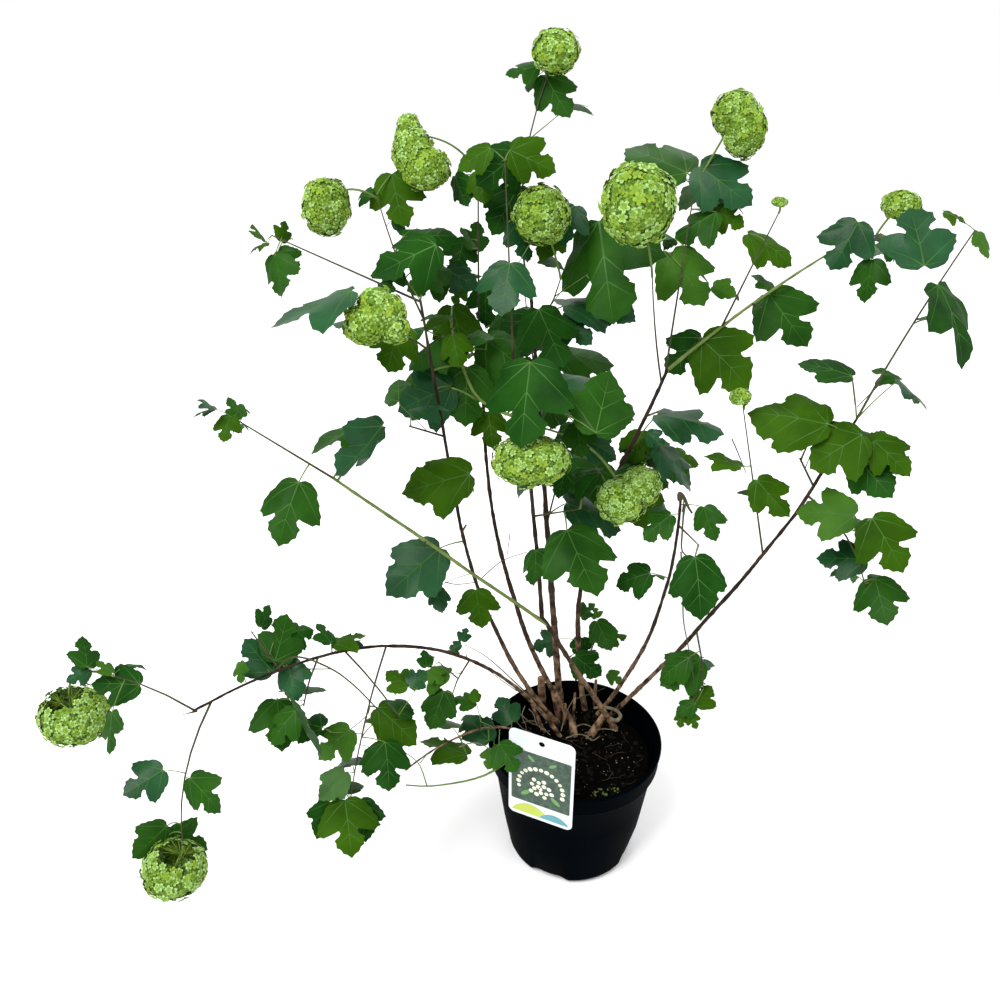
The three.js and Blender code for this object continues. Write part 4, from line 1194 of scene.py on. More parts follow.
# %% Stubs, dead twigs and broken ends
BACK, UPWARD = 1, 2  # whether a row gives how far back its ends are, or how high, in millimetres
ODD_WOOD = {  # back or upward, at both ends, widths at both ends, places in the view
    "pale": [
        (BACK, 45, 60, 6.5, 4, (606, 716), (616, 722), (622, 716), (615, 709), (603, 707), (594, 708)),
        (UPWARD, 166, 166, 2.4, 1.4, (571, 731), (578, 725), (587, 724), (597, 731)),
        (UPWARD, 166, 166, 1.8, 1.2, (566, 738), (580, 733), (592, 739)),
    ],
    "dark": [
        (BACK, -47, -47, 6, 2.4, (680, 500), (679, 492), (684, 497), (688, 507), (692, 513)),
        (BACK, -47, -49, 1.5, 1, (684, 500), (682, 512)),
        (BACK, -47, -49, 1.5, 1, (686, 503), (684, 516)),
        (BACK, -47, -60, 2.4, 1.8, (684, 505), (682, 535), (681, 552), (690, 558)),
        (BACK, -55, -40, 2, 1, (681, 552), (683, 600), (683, 620), (687, 640), (693, 671), (695, 704)),
        (UPWARD, 186, 205, 2.2, 1.2, (572, 700), (588, 695), (605, 688)),
        (BACK, -201, -201, 2.5, 0.6, (197, 711), (189, 713), (182, 715)),
        (BACK, -140, -160, 2.4, 1.4, (275, 671), (293, 653), (332, 668), (353, 684), (369, 700),
         (380, 712)),
        (BACK, -146, -150, 1.4, 1, (305, 669), (332, 669)),
        (BACK, -158, -158, 1.6, 1, (369, 700), (370, 714), (351, 729)),
        (BACK, -158, -158, 1.4, 0.8, (367, 716), (359, 748)),
        (BACK, -47, -47, 1.5, 1, (852, 376), (855, 405)),
        (BACK, -47, -47, 1.5, 1, (880, 384), (857, 407)),
        (BACK, 0, 0, 1.6, 1, (732, 439), (739, 455), (746, 473)),
        (BACK, 20, 20, 1.4, 1, (482, 578), (501, 560), (527, 552)),
        (BACK, 20, 20, 1.4, 1, (445, 582), (456, 585), (478, 582)),
        (BACK, 20, 20, 1.2, 0.8, (510, 534), (507, 556)),
    ],
    "dead": [
        (BACK, 60, 0, 2.2, 1, (540, 705), (521, 688), (499, 667), (482, 653), (465, 645)),
        (BACK, 30, 10, 1.4, 0.8, (517, 691), (501, 680), (488, 670)),
        (UPWARD, 182, 170, 1.8, 1.2, (518, 712), (526, 719), (530, 723), (540, 726), (546, 732)),
        (UPWARD, 190, 172, 1.8, 1.2, (529, 709), (534, 714), (536, 724), (543, 730)),
        (UPWARD, 172, 168, 1.8, 1.2, (522, 723), (532, 720), (540, 724), (550, 735)),
        (UPWARD, 178, 170, 1.6, 1.2, (546, 723), (549, 718), (557, 717), (560, 723)),
        (UPWARD, 176, 170, 1.6, 1.0, (514, 718), (522, 729), (533, 733), (541, 741)),
        (UPWARD, 186, 168, 1.6, 1.0, (525, 706), (521, 716), (527, 727), (525, 737)),
        (UPWARD, 166, 170, 1.6, 1.0, (600, 736), (592, 742), (586, 735)),
        (UPWARD, 165, 205, 1.8, 1, (561, 731), (566, 712), (573, 700)),
        (UPWARD, 166, 190, 1.6, 1, (585, 733), (603, 728), (618, 731)),
        (BACK, -90, -90, 1.8, 1, (459, 747), (475, 741), (494, 751)),
    ],
    "green": [
        (BACK, -110, -150, 3, 1.6, (508, 761), (483, 778), (432, 787), (406, 785)),
        (BACK, -140, -145, 1.6, 1, (427, 786), (420, 763), (406, 753)),
        (BACK, -142, -142, 1.4, 0.9, (420, 763), (430, 751)),
        (BACK, 55, 8, 3.2, 4, (452, 328), (457, 350), (466, 377), (477, 399), (498, 411), (521, 419)),
        (BACK, 8, 24, 2, 2.6, (452, 388), (464, 392), (477, 400)),
        (BACK, 9, -14, 2.4, 3.6, (524, 424), (552, 430), (583, 442), (603, 459), (620, 484)),
    ],
    "old": [
        (UPWARD, 228, 158, 11, 14, (541, 678), (543, 714)),
        (UPWARD, 224, 158, 8, 12, (553, 687), (560, 722)),
        (UPWARD, 214, 158, 4, 6, (596, 680), (594, 710)),
        (UPWARD, 200, 158, 5, 7, (565, 704), (564, 727)),
        (UPWARD, 213, 158, 3.5, 5, (575, 693), (573, 723)),
        (UPWARD, 213, 158, 4, 6, (532, 704), (545, 734)),
        (UPWARD, 192, 158, 9, 13, (606, 712), (588, 740)),
        (UPWARD, 176, 158, 9, 14, (572, 718), (574, 738)),
    ],
}
CORNER_CUTS = 2
ODD_ROUGHNESS = {"pale": 2.5, "old": 2.5}  # as of a stem of this radius; the others are smoother


def rounded(places):
    """A path in the view with its corners cut off, twice over."""
    places = np.array(places, float)
    for _ in range(CORNER_CUTS if len(places) > 2 else 0):
        early, late = places[:-1] * 0.75 + places[1:] * 0.25, places[:-1] * 0.25 + places[1:] * 0.75
        places = np.vstack([places[:1], np.stack([early, late], axis=1).reshape(-1, 2)[1:-1], places[-1:]])
    return places


def odd_path(axis, first, last, width, end_width, *places):
    rays = np.array([sight(place) for place in rounded(places)])
    levels = np.linspace(first, last, len(rays))
    points = EYE + rays * ((levels - EYE[axis]) / rays[:, axis])[:, None]
    return points, np.linspace(width, end_width, len(rays)) / 2


wood_pale = finish("wood_pale", (0.075, 0.062, 0.036), (0.240, 0.205, 0.135), 0.8, scale=110.0, mirror=0.1)
ODD_FINISHES = {"pale": wood_pale, "dark": twig_brown, "dead": twig_dead, "green": twig_green, "old": bark}
for kind, rows in ODD_WOOD.items():
    odd_mesh = tube_mesh(f"odd_wood_{kind}", [odd_path(*row) for row in rows], 2)
    roughen(odd_mesh, ODD_ROUGHNESS.get(kind, 0.5))
    wood_pieces.append(new_piece(f"odd_wood_{kind}", odd_mesh, "bark", [ODD_FINISHES[kind]], *mass_names))
print("stubs, dead twigs and broken ends:", sum(len(rows) for rows in ODD_WOOD.values()))

# %% [markdown]
# Each blade is a copy of a flat one, folded along its midrib, drooping at the tip and lobes and a little
# wavy. A real leaf finds its own place in the light, so a blade that would cut through a stem, a flower
# head or another blade is bent and turned another way, or left out.

# %% Bend a blade
BEND = dict(fold=(0.22, 0.65), droop=(0.08, 0.40), lobes=(0.0, 0.55), wave=(0.0, 0.035))
HAND_BEND = dict(fold=(0.05, 0.40), droop=(0.0, 0.22), lobes=(0.0, 0.45), wave=(0.005, 0.045))
SWEEP, TWIST = 0.16, 0.5
BEND_LOSS = (0.3, 0.45)  # what a drop takes from a blade's length and width
LOBE_START = 0.3
WAVES = 7
SUNWARD = (-0.15, -0.62, 0.77)  # where the light comes from, and how far blades turn to it
SUN_TURN = 0.38


def bent(points, draw, bend=BEND):
    """A flat blade's corners after folding, drooping and waving, for a blade of length one."""
    x, y, _ = points.T
    fold, droop, lobes, wave = (between(*bend[kind], draw) for kind in ("fold", "droop", "lobes", "wave"))
    phase = math.tau * draw()
    sweep = SWEEP * (draw() - 0.5)
    twist = TWIST * (draw() - 0.5)
    width = np.abs(y)
    drop = fold * width**1.5 + droop * np.abs(x) ** 2.2 + lobes * np.clip(width - LOBE_START, 0, None)
    ripple = wave * np.sin(WAVES * np.arctan2(y, x - 0.1) + phase) * np.hypot(x - 0.1, y) / 0.5
    shorter, narrower = (1 - loss * drop for loss in BEND_LOSS)
    return np.c_[x * shorter, y * narrower + sweep * x**2, ripple + twist * x * y - drop]


def rolled(pose, angle, scale):
    midrib, across, _ = pose["frame"]
    across = turned(across, midrib, angle)
    return {**pose, "frame": np.array([midrib, across, np.cross(midrib, across)]),
            "length": pose["length"] * scale}


def sunlit(pose):
    """The pose with its blade turned some way to the light, about the foot of the blade."""
    midrib, _, normal = pose["frame"]
    facing = unit(normal * (1 - SUN_TURN) + unit(np.array(SUNWARD)) * SUN_TURN)
    midrib = unit(midrib - facing * np.dot(midrib, facing))
    frame = np.array([midrib, np.cross(facing, midrib), facing])
    return {**pose, "frame": frame, "middle": pose["base"] + midrib * BLADE_CENTRE * pose["length"]}


flat_blades = [corners(blade) for blade in blades]
print("blades to bend:", len(flat_blades), "with corners:", [len(flat) for flat in flat_blades])

# %% [markdown]
# A blade mustn't stand in a flower head or hide one, nor close a gap through which one sees the sky.
# Heads and listed blades are round spots of the view with a distance each. A blade that grows by
# the rule has to be hidden, with most of its marks, behind such spots.

# %% What a blade may not hide
COVER_REACH = 0.56  # a listed blade that faces the viewer hides what stands this near to its middle
COVER_MARKS = ((0, 0), (0.36, 0), (-0.36, 0), (0, 0.4), (0, -0.4))  # along and across a blade
COVER_LEAST = 3  # so many marks of a blade must be hidden
HEAD_CLEAR = 0.72  # the part of a head's spot that stays free
HEAD_MARK_STEP = 3


def inside_head(points):
    for middle, half in all_lobes:
        offset = (points - middle * MM) / (half * MM)
        if (np.einsum("ij,ij->i", offset, offset) < 1).any():
            return True
    return False


def view_place(point):
    """Where a point stands in the view, across and down, and how far away."""
    seen = view_rows.T @ (point - EYE)
    return np.array([seen[0], -seen[1]]) / -seen[2] * VIEW_SHARE + VIEW_SHARE / 2, -seen[2]


def view_discs(spots):
    """Round spots of the view, from middles and radii in millimetres: place, radius and distance."""
    discs = []
    for middle, radius in spots:
        place, away = view_place(middle)
        discs.append((place, radius / away * VIEW_SHARE, away))
    return discs


HEAD_DISCS = view_discs([(middle, half[[0, 2]].mean()) for middle, half in all_lobes])


def leaves_gap(pose, discs):
    """True if a blade would stand in a gap that the listed leaves keep open, or in front of them."""
    midrib, across, _ = pose["frame"]
    hidden = 0
    for along, aside in COVER_MARKS:
        mark = pose["middle"] + (midrib * along + across * aside) * pose["length"]
        place, away = view_place(mark)
        before = [(other, radius) for other, radius, near in discs if near < away]
        hidden += any(np.linalg.norm(place - other) < radius for other, radius in before)
    return hidden < COVER_LEAST


def hides_head(points):
    """True if a blade would stand in front of a flower head."""
    for place, away in (view_place(point / MM) for point in points[::HEAD_MARK_STEP]):
        for other, radius, head_away in HEAD_DISCS:
            if away < head_away and np.linalg.norm(place - other) < HEAD_CLEAR * radius:
                return True
    return False


print("spots of the heads:", len(HEAD_DISCS))

# %% [markdown]
# A tree of faces answers quickly whether two meshes cross. The listed blades come first. One that
# crosses something steps back or forth along its line of sight, where it looks the same. Others are only
# turned and made smaller.

# %% Set the blades
BEND_TRIES = 7
FORWARD_STEP = 6
HAND_TRY = (2, 0.012)  # degrees of roll and share of size that each try changes
RULE_TRY = (9, 0.05)
LEAST_HEIGHT = 0.004  # metres over the floor
FACE_SETS = [[tuple(face.vertices) for face in blade.polygons] for blade in blades]


def tree_of(mesh):
    return BVHTree.FromPolygons(corners(mesh).tolist(), [tuple(face.vertices) for face in mesh.polygons])


obstacles = [tree_of(piece.data) for piece in wood_pieces]
obstacles += [tree_of(bpy.data.objects[name].data) for name in ("pot", "plant_label")]
obstacles.append(tree_of(full_shoots))
placed = []  # a leaf's pose, shape, corners, tree of faces and middle


def try_leaf(tried, draw, bend, before_heads=False):
    """Places a bent blade if it stands free."""
    shape = min(int(draw() * len(blades)), len(blades) - 1)
    blade = bent(flat_blades[shape], draw, bend)
    points = (tried["base"] + blade * tried["length"] @ tried["frame"]) * MM
    middle, size = points.mean(axis=0), tried["length"] * MM
    if points[:, 2].min() < LEAST_HEIGHT or inside_head(points) or (not before_heads and hides_head(points)):
        return False
    faces = BVHTree.FromPolygons(points.tolist(), FACE_SETS[shape])
    near = [leaf for leaf in placed if np.linalg.norm(leaf["middle"] - middle) < size + leaf["size"]]
    if any(faces.overlap(tree) for tree in obstacles) or any(faces.overlap(leaf["faces"]) for leaf in near):
        return False
    placed.append(dict(pose=tried, shape=shape, points=points, faces=faces, middle=middle, size=size))
    return True


def tried_again(pose, attempt, change, draw):
    """The pose rolled further and made smaller with each attempt."""
    return rolled(pose, math.radians(change[0] * attempt) * (2 * draw() - 1), 1 - change[1] * attempt)


missed = []
for number, pose in enumerate(hand_poses):
    draw = seeded_draw(f"hand_{number}")
    for attempt in range(3 * BEND_TRIES):
        there_and_back = (attempt + 1) // 2 * (-1) ** attempt
        steps = math.copysign(attempt, pose["nearer"]) if pose["nearer"] else there_and_back
        nearer = {**pose, "base": pose["base"] - pose["ray"] * (pose["nearer"] + FORWARD_STEP * steps)}
        nearer = tried_again(nearer, attempt, HAND_TRY, draw)
        if try_leaf(nearer, draw, HAND_BEND, pose["nearer"] > 0):
            break
    else:
        missed.append(number)
by_hand = len(placed)
print("set by hand:", by_hand, "without room:", missed)


def cover_spot(pose):
    """The middle of a blade and how far about it the blade hides what stands behind."""
    return pose["middle"], pose["length"] * COVER_REACH * abs(np.dot(pose["frame"][2], pose["ray"]))


cover_discs = view_discs([cover_spot(leaf["pose"]) for leaf in placed])
cover_discs += HEAD_DISCS


def grow(candidates, word):
    """Places the blades that keep the gaps open and stand free."""
    before = len(placed)
    for number, pose in enumerate(candidates):
        draw = seeded_draw(f"{pose['mass']}_{word}_{number}")
        for attempt in range(0 if leaves_gap(pose, cover_discs) else BEND_TRIES):
            tried = tried_again(pose, attempt, RULE_TRY, draw)
            if try_leaf(tried, draw, BEND):
                break
    print(word, "leaves:", len(placed) - before, "of", len(candidates))


grow([sunlit(pose) for pose in poses], "bend")

# %% [markdown]
# Leaves of this shrub stand in pairs. Behind each listed blade its partner grows from the same spot
# to the far side, so that the crown is full from behind too.

# %% Partners on the far side
PARTNER = dict(size=(0.62, 0.92), stalk=(14, 34), aside=0.8, droop=(0.05, 0.55), lean=(-0.2, 0.6))


def partner(pose, draw):
    away = unit(pose["ray"] * np.array([1, 1, 0]))
    aside = np.cross(UP, away) * PARTNER["aside"] * (2 * draw() - 1)
    midrib = unit(away + aside - UP * between(*PARTNER["droop"], draw))
    facing = UP + away * between(*PARTNER["lean"], draw)
    facing = unit(facing - midrib * np.dot(facing, midrib))
    length = pose["length"] * between(*PARTNER["size"], draw)
    base = pose["root"] + midrib * between(*PARTNER["stalk"], draw)
    return {**pose, "base": base, "middle": base + midrib * BLADE_CENTRE * length, "length": length,
            "frame": np.array([midrib, np.cross(facing, midrib), facing])}


pair_draw = seeded_draw("partners")
grow([partner(leaf["pose"], pair_draw) for leaf in placed[:by_hand]], "pair")

# %% [markdown]
# A twig that found no leaf to carry is cut back to its last leaf or side twig.

# %% Shoots and twigs, trimmed
TWIG_SHARES_AT = np.linspace(0.05, 1, WOOD_MARKS)
TWIG_GRIP = 3.0
STUB_SHARE = 0.25


def trimmed(limb, spots):
    """The limb cut off behind the last spot that it carries, or nothing if it carries none."""
    marks = np.array([axis_point(limb, t) for t in TWIG_SHARES_AT])
    gaps = np.linalg.norm(marks[:, None] - spots[None], axis=2).min(axis=1)
    held = TWIG_SHARES_AT[gaps < TWIG_GRIP]
    return {**limb, "end": held.max()} if len(held) else None


leaf_feet = np.array([leaf["pose"]["root"] for leaf in placed])
kept_twigs = [limb for limb in (trimmed(twig, leaf_feet) for twig in twigs) if limb]
kept_fine = [limb for limb in (trimmed(twig, leaf_feet) for twig in fine_twigs) if limb]
carried = np.vstack([leaf_feet, *(limb["start"] for limb in kept_twigs + kept_fine)])
kept_shoots = [
    shoot if shoot["name"] in HEADS else trimmed(shoot, carried) or {**shoot, "end": STUB_SHARE}
    for shoot in shoots
]
shoot_mesh = tube_mesh("shoots", [shoot_path(limb) for limb in kept_shoots + kept_twigs], 1)
new_piece("shoots", shoot_mesh, "bark", [twig_brown], *mass_names)
fine_mesh = tube_mesh("fine_twigs", [shoot_path(limb) for limb in kept_fine], 0)
new_piece("fine_twigs", fine_mesh, "bark", [twig_green], *mass_names)
print("side twigs kept:", len(kept_twigs), "of", len(twigs))
print("finer twigs kept:", len(kept_fine), "of", len(fine_twigs))

# %% [markdown]
# All blades become one piece. Five greens are dealt out among them by shares, and the veins have a
# finish of their own.

# %% Join the blades
# two of these greens paint light: a bluer sheen of the sky, and a warmer glow of light coming through
TINT_SHARES = {"leaf_deep": 0.24, "leaf_painted_sky_sheen": 0.23, "leaf_painted_backlight": 0.22, "leaf_mid": 0.29, "leaf_young": 0.02}
YOUNG = dict(length=34, share=0.25)
tint_names = list(TINT_SHARES)
tint_limits = np.cumsum(list(TINT_SHARES.values()))


def tint_of(leaf, draw):
    """The young tips are lighter; the others are dealt out by their shares."""
    if leaf["pose"]["length"] < YOUNG["length"] and draw() < YOUNG["share"]:
        return tint_names.index("leaf_young")
    return min(int(np.searchsorted(tint_limits, draw())), len(tint_names) - 1)


def add_copy(bm, mesh, points, finishes):
    """Adds a copy of a mesh to a bmesh, with new corners and a finish for each face."""
    copy = mesh.copy()
    copy.vertices.foreach_set("co", points.ravel())
    copy.polygons.foreach_set("material_index", finishes)
    bm.from_mesh(copy)
    bpy.data.meshes.remove(copy)


def joined_blades(leaves):
    bm = bmesh.new()
    tint_draw = seeded_draw("leaf_tints")
    for leaf in leaves:
        blade, tint = blades[leaf["shape"]], tint_of(leaf, tint_draw)
        marks = [len(tint_names) if face.material_index == VEIN else tint for face in blade.polygons]
        add_copy(bm, blade, leaf["points"], marks)
    return mesh_from(bm, "leaves")


leaf_mesh = joined_blades(placed)
new_piece("leaves", leaf_mesh, "foliage", [*leaf_tops, leaf_vein], *mass_names)
print("leaf triangles:", triangles(leaf_mesh))

# %% [markdown]
# A leaf stalk is thin and green. It leaves the twig sideways, bows up a little and runs into the
# midrib's foot.

# %% Leaf stalks
STALK_RADII = (1.38, 1.15, 0.75)  # at the twig, close to it and at the blade
STALK_BOW = 0.05
STALK_POINTS = 6
STALK_END = (0.03, 0.5)  # along the midrib, as a share of the blade, and under it, in millimetres
FULL_LEAF = 70  # a longer blade has no thicker stalk


def stalk_path(leaf):
    pose = leaf["pose"]
    root, base = pose["root"], pose["base"]
    midrib, _, normal = pose["frame"]
    bow = (root + base) / 2 + UP * STALK_BOW * np.linalg.norm(base - root) * 2
    shares = np.linspace(0, 1, STALK_POINTS)[:, None]
    points = root * (1 - shares) ** 2 + 2 * bow * shares * (1 - shares) + base * shares**2
    points = np.vstack([points, base + midrib * STALK_END[0] * pose["length"] - normal * STALK_END[1]])
    radii = np.interp(np.linspace(0, 1, len(points)), (0, 0.2, 1), STALK_RADII)
    return points, radii * min(1.0, pose["length"] / FULL_LEAF)


petiole_mesh = tube_mesh("leaf_stalks", [stalk_path(leaf) for leaf in placed], 0)
new_piece("leaf_stalks", petiole_mesh, "foliage", [twig_green], *mass_names)
print("leaf stalks:", len(placed), "with", len(petiole_mesh.polygons), "faces")

# %% [markdown]
# ## The flower heads
# A snowball is an umbel: rays from the end of the stalk carry a ball of small sterile flowers, each
# with five round petals that overlap its neighbours. One flower is made from a circle whose rim
# is drawn in five times, with a ring halfway so that each petal curves back.

# %% One small flower
FLOWER_RIM = 20
PETALS = 5
RIM = {0: (0.60, 0.03), 1: (0.92, -0.05), 2: (1.0, -0.10), 3: (0.92, -0.05)}  # radius and height
HALFWAY = {0: (0.40, -0.04), 1: (0.55, 0.07), 2: (0.60, 0.10), 3: (0.55, 0.07)}
FLOWER_EYE = dict(radius=0.1, height=-0.10)
RIM_FROM = 0.75


def flower_mesh():
    bm = bmesh.new()
    bmesh.ops.create_circle(bm, segments=FLOWER_RIM, radius=1, cap_ends=True, cap_tris=True)
    spokes = [edge for edge in bm.edges if not edge.is_boundary]
    bmesh.ops.subdivide_edges(bm, edges=spokes, cuts=1)
    for vert in bm.verts:
        radius = vert.co.xy.length
        if radius < FLOWER_EYE["radius"]:
            vert.co.z = FLOWER_EYE["height"]
            continue
        place = round(math.atan2(vert.co.y, vert.co.x) / math.tau * FLOWER_RIM) % (FLOWER_RIM // PETALS)
        reach, height = (RIM if radius > RIM_FROM else HALFWAY)[place]
        vert.co = Vector((vert.co.x / radius * reach, vert.co.y / radius * reach, height))
    for face in bm.faces:
        face.material_index = int(min(vert.co.xy.length for vert in face.verts) > FLOWER_EYE["radius"])
        if face.normal.z < 0:
            face.normal_flip()
    return mesh_from(bm, "flower")


flower = flower_mesh()
OUTER = np.array([face.material_index for face in flower.polygons])
print("one flower:", len(flower.polygons), "faces,", int(OUTER.sum()), "of them outer ones")

# %% [markdown]
# The flowers of a head are spread evenly by turns of the golden angle, as seeds are in a sunflower, and
# then each is moved, turned and sized a little by dice. A particle system would leave gaps and heaps.

# %% Flowers over each head
FLOWER_SIZES = {"big_bloom": 6.3, "left_end": 5.4, "left_drop": 5.2, "left_bloom": 5.2}  # radius, mm
FLOWER_RADIUS = 4.9
LEAST_FLOWERS_ACROSS = 7
FLOWER_PITCH = 1.24  # distance between flowers, in radii
OPEN_HEADS = {"left_end": 38, "left_drop": 38}  # degrees of the ball round the stalk without flowers
STALK_OPENING = 12
HEAD_LUMPS = dict(height=0.06, pitch=2.6)
FLOWER = dict(jitter=0.15, sizes=(0.82, 1.14), depths=(0.86, 1.02), sink=0.15, tilt=0.28)
LOBE_SHARE = 0.9  # no flower stands deeper than this in another lobe
GOLDEN_TURN = math.pi * (3 - math.sqrt(5))
PETAL_SHARES = (0.30, 0.70, 0.90)  # lime, pale and yellow flowers; the rest are in shade
PALE_SHARES = (0.20, 0.82, 0.94)
# for heart_bloom the extra pale flowers are painted light, lifting a head that stands in the leaves' shade
PALE_HEADS = {"left_end", "left_drop", "heart_bloom"}
# finish 3 is painted shade, the darker green in the cupped throat of a flower
PETAL_PAIRS = [(3, 0), (0, 1), (0, 2), (3, 0)]  # inner and outer finish of each kind


def head_reach(name, direction):
    """How far out the flowers stand in a direction, against the lobe's ellipsoid."""
    lump = noise.noise(Vector(direction * HEAD_LUMPS["pitch"]) + Vector((len(name), 3 * len(name), 0)))
    return 1 + HEAD_LUMPS["height"] * 2 * lump


def level_frame(direction, spin):
    """Three axes with the third along a direction, turned about it by a spin."""
    side = unit(np.cross(direction, UP if abs(direction[2]) < 0.9 else np.array([1.0, 0, 0])))
    side = turned(side, direction, spin)
    return np.array([side, np.cross(direction, side), direction])


def inside_lobe(place, lobe):
    middle, half = lobe
    return np.linalg.norm((place - middle) / half) < LOBE_SHARE


def head_flowers(name):
    """Place, axes, size and kind of each flower of a head."""
    draw = seeded_draw(name + "_flowers")
    lobes = head_lobes(name)
    stem_side = -limb_tangent(stalks[name], 1)
    limit = math.cos(math.radians(OPEN_HEADS.get(name, STALK_OPENING)))
    flowers = []
    for lobe in lobes:
        centre, half = lobe
        radius = min(FLOWER_SIZES.get(name, FLOWER_RADIUS), 2 * half[0] / LEAST_FLOWERS_ACROSS)
        area = 4 * math.pi * (half[0] * half[1] + half[0] * half[2] + half[1] * half[2]) / 3
        count = int(area / (FLOWER_PITCH * radius) ** 2)
        for i in range(count):
            height = 1 - 2 * (i + 0.5) / count
            ring = math.sqrt(1 - height * height)
            turn = i * GOLDEN_TURN
            direction = np.array([ring * math.cos(turn), ring * math.sin(turn), height])
            direction = unit(direction + centred_draws(draw) * FLOWER["jitter"])
            size = radius * between(*FLOWER["sizes"], draw)
            depth = between(*FLOWER["depths"], draw)
            kind = int(np.searchsorted(PALE_SHARES if name in PALE_HEADS else PETAL_SHARES, draw()))
            tilt = centred_draws(draw) * 2 * FLOWER["tilt"]
            spin = math.tau * draw()
            reach = head_reach(name, direction) * depth
            place = centre + direction * (half - size * FLOWER["sink"]) * reach
            others = [other for other in lobes if other is not lobe]
            if np.dot(direction, stem_side) > limit or any(inside_lobe(place, other) for other in others):
                continue
            outward = unit(unit(direction / half) + tilt)
            flowers.append((place, level_frame(outward, spin), size, kind))
    return flowers


def joined_flowers(name, heads):
    bm = bmesh.new()
    flat = corners(flower)
    for place, axes, size, kind in (spot for head in heads for spot in head_flowers(head)):
        inner, outer = PETAL_PAIRS[kind]
        add_copy(bm, flower, (place + flat * size @ axes) * MM, np.where(OUTER, outer, inner))
    return mesh_from(bm, name)


LOW_HEADS = ["left_end", "left_drop", "left_bloom", "upper_left_bloom", "dome_bloom", "top_bloom"]
BLOSSOMS = {"blossom_left": LOW_HEADS, "blossom_right": [name for name in HEADS if name not in LOW_HEADS]}
for piece_name, heads in BLOSSOMS.items():
    blossom_mesh = joined_flowers(piece_name, heads)
    new_piece(piece_name, blossom_mesh, "blossom", petals, *heads)
    print(piece_name, "triangles:", triangles(blossom_mesh))

# %% [markdown]
# Between the flowers one looks into shade, so a core fills each lobe, a sheet of painted shade in
# mottled dark greens. The two hanging heads are open at the top, so their core is a bowl, and they get
# true rays: a few thick ones from the end of the stalk, and a thin one from these to each flower near
# the rim of the bowl.

# %% Cores and rays
CORE_SHARE = 0.91
BOWL_RIM = 0.66
RAY_HUBS = 9
RAY_START = 0.1
RAY_HUB_SHARE = 0.5
RAY_RADII = (0.6, 0.28)
RAY_RIM = 0.05  # flowers lower than this, against the bowl's axis, get no ray of their own


# the cores are painted shade: dark sheets inside the heads, where only shade is seen between flowers
def core_mesh(names):
    bm = bmesh.new()
    for name in names:
        away = -limb_tangent(stalks[name], 1)
        for centre, half in head_lobes(name):
            ball = bmesh.ops.create_icosphere(bm, subdivisions=3, radius=1)["verts"]
            hollow = [vert for vert in ball if name in OPEN_HEADS and away.dot(vert.co) > BOWL_RIM]
            for vert in ball:
                direction = np.array(vert.co)
                vert.co = (centre + direction * half * CORE_SHARE * head_reach(name, direction)) * MM
            bmesh.ops.delete(bm, geom=hollow, context="VERTS")
    return mesh_from(bm, "blossom_cores")


def head_rays(name):
    centre, half = head_lobes(name)[0]
    away = -limb_tangent(stalks[name], 1)
    top = centre + away * half[2] * RAY_START
    flowers = [place for place, *_ in head_flowers(name)]
    flowers = [place for place in flowers if np.dot(place - centre, away) > RAY_RIM * half[2]]
    hubs = [top + (place - top) * RAY_HUB_SHARE for place in flowers[:: max(1, len(flowers) // RAY_HUBS)]]
    paths = [([top, (top + hub) / 2 + UP, hub], [RAY_RADII[0]] * 3) for hub in hubs]
    for place in flowers:
        hub = min(hubs, key=lambda other: np.linalg.norm(other - place))
        paths.append(([hub, place], [RAY_RADII[1]] * 2))
    return paths


# painted shade: dark greens that stand for flowers in the shade deep in the head
core_painted_shade = finish("core_painted_shade", (0.045, 0.095, 0.008), (0.150, 0.260, 0.032), 0.7, scale=420.0,
                     contrast=4.0, grain=(300.0, 0.002, 1.0), mirror=0.05)
new_piece("blossom_cores", core_mesh(HEADS), "blossom", [core_painted_shade], *HEADS)
ray_paths = [path for name in OPEN_HEADS for path in head_rays(name)]
new_piece("umbel_rays", tube_mesh("umbel_rays", ray_paths, 0), "blossom", [petals[0]], *OPEN_HEADS)


FLOWER_STALK = dict(points=14, radii=(1.4, 1.1))


def flower_stalk(name):
    """The stalk's curve, bent so that it ends in the middle of the first lobe."""
    stalk = stalks[name]
    shares = np.linspace(0, 1, FLOWER_STALK["points"])
    shift = head_lobes(name)[0][0] - limb_point(stalk, 1)
    thick, thin = FLOWER_STALK["radii"]
    return [limb_point(stalk, t) + shift * t**2 for t in shares], [thick + (thin - thick) * t for t in shares]


stalk_mesh = tube_mesh("flower_stalks", [flower_stalk(name) for name in HEADS], 1)
new_piece("flower_stalks", stalk_mesh, "blossom", [twig_green], *HEADS)
print("rays:", len(ray_paths), "stalks:", len(HEADS))

# %% [markdown]
# ## The pot
# The pot is a profile spun round the axis, with a step under the collar, a rolled lip and a ledge
# inside. The foot has four wide notches for drainage, made by lifting and drawing in its corners.

# %% Pot
POT_STEPS = 128
POT_HEIGHT, RIM_RADIUS, BASE_RADIUS = 195, 120, 90
POT_WALL = 1.6
SHOULDER = 157
COLLAR = dict(step=4, slope=10)
LIP = dict(height=6, depth=2.4)
FOOT_ROUNDING = 14
FOOT_NOTCH = dict(count=4, height=11, share=0.19, inward=7, turn=-24, steep=3, outside=70)
LEDGE = dict(rise=6, width=1.2)
FLAT_RADIUS, FLOOR_TOP = 55, 12
WALL_RINGS = (60, 110)


def body_radius(z):
    return BASE_RADIUS + (RIM_RADIUS - COLLAR["step"] - BASE_RADIUS) * z / POT_HEIGHT


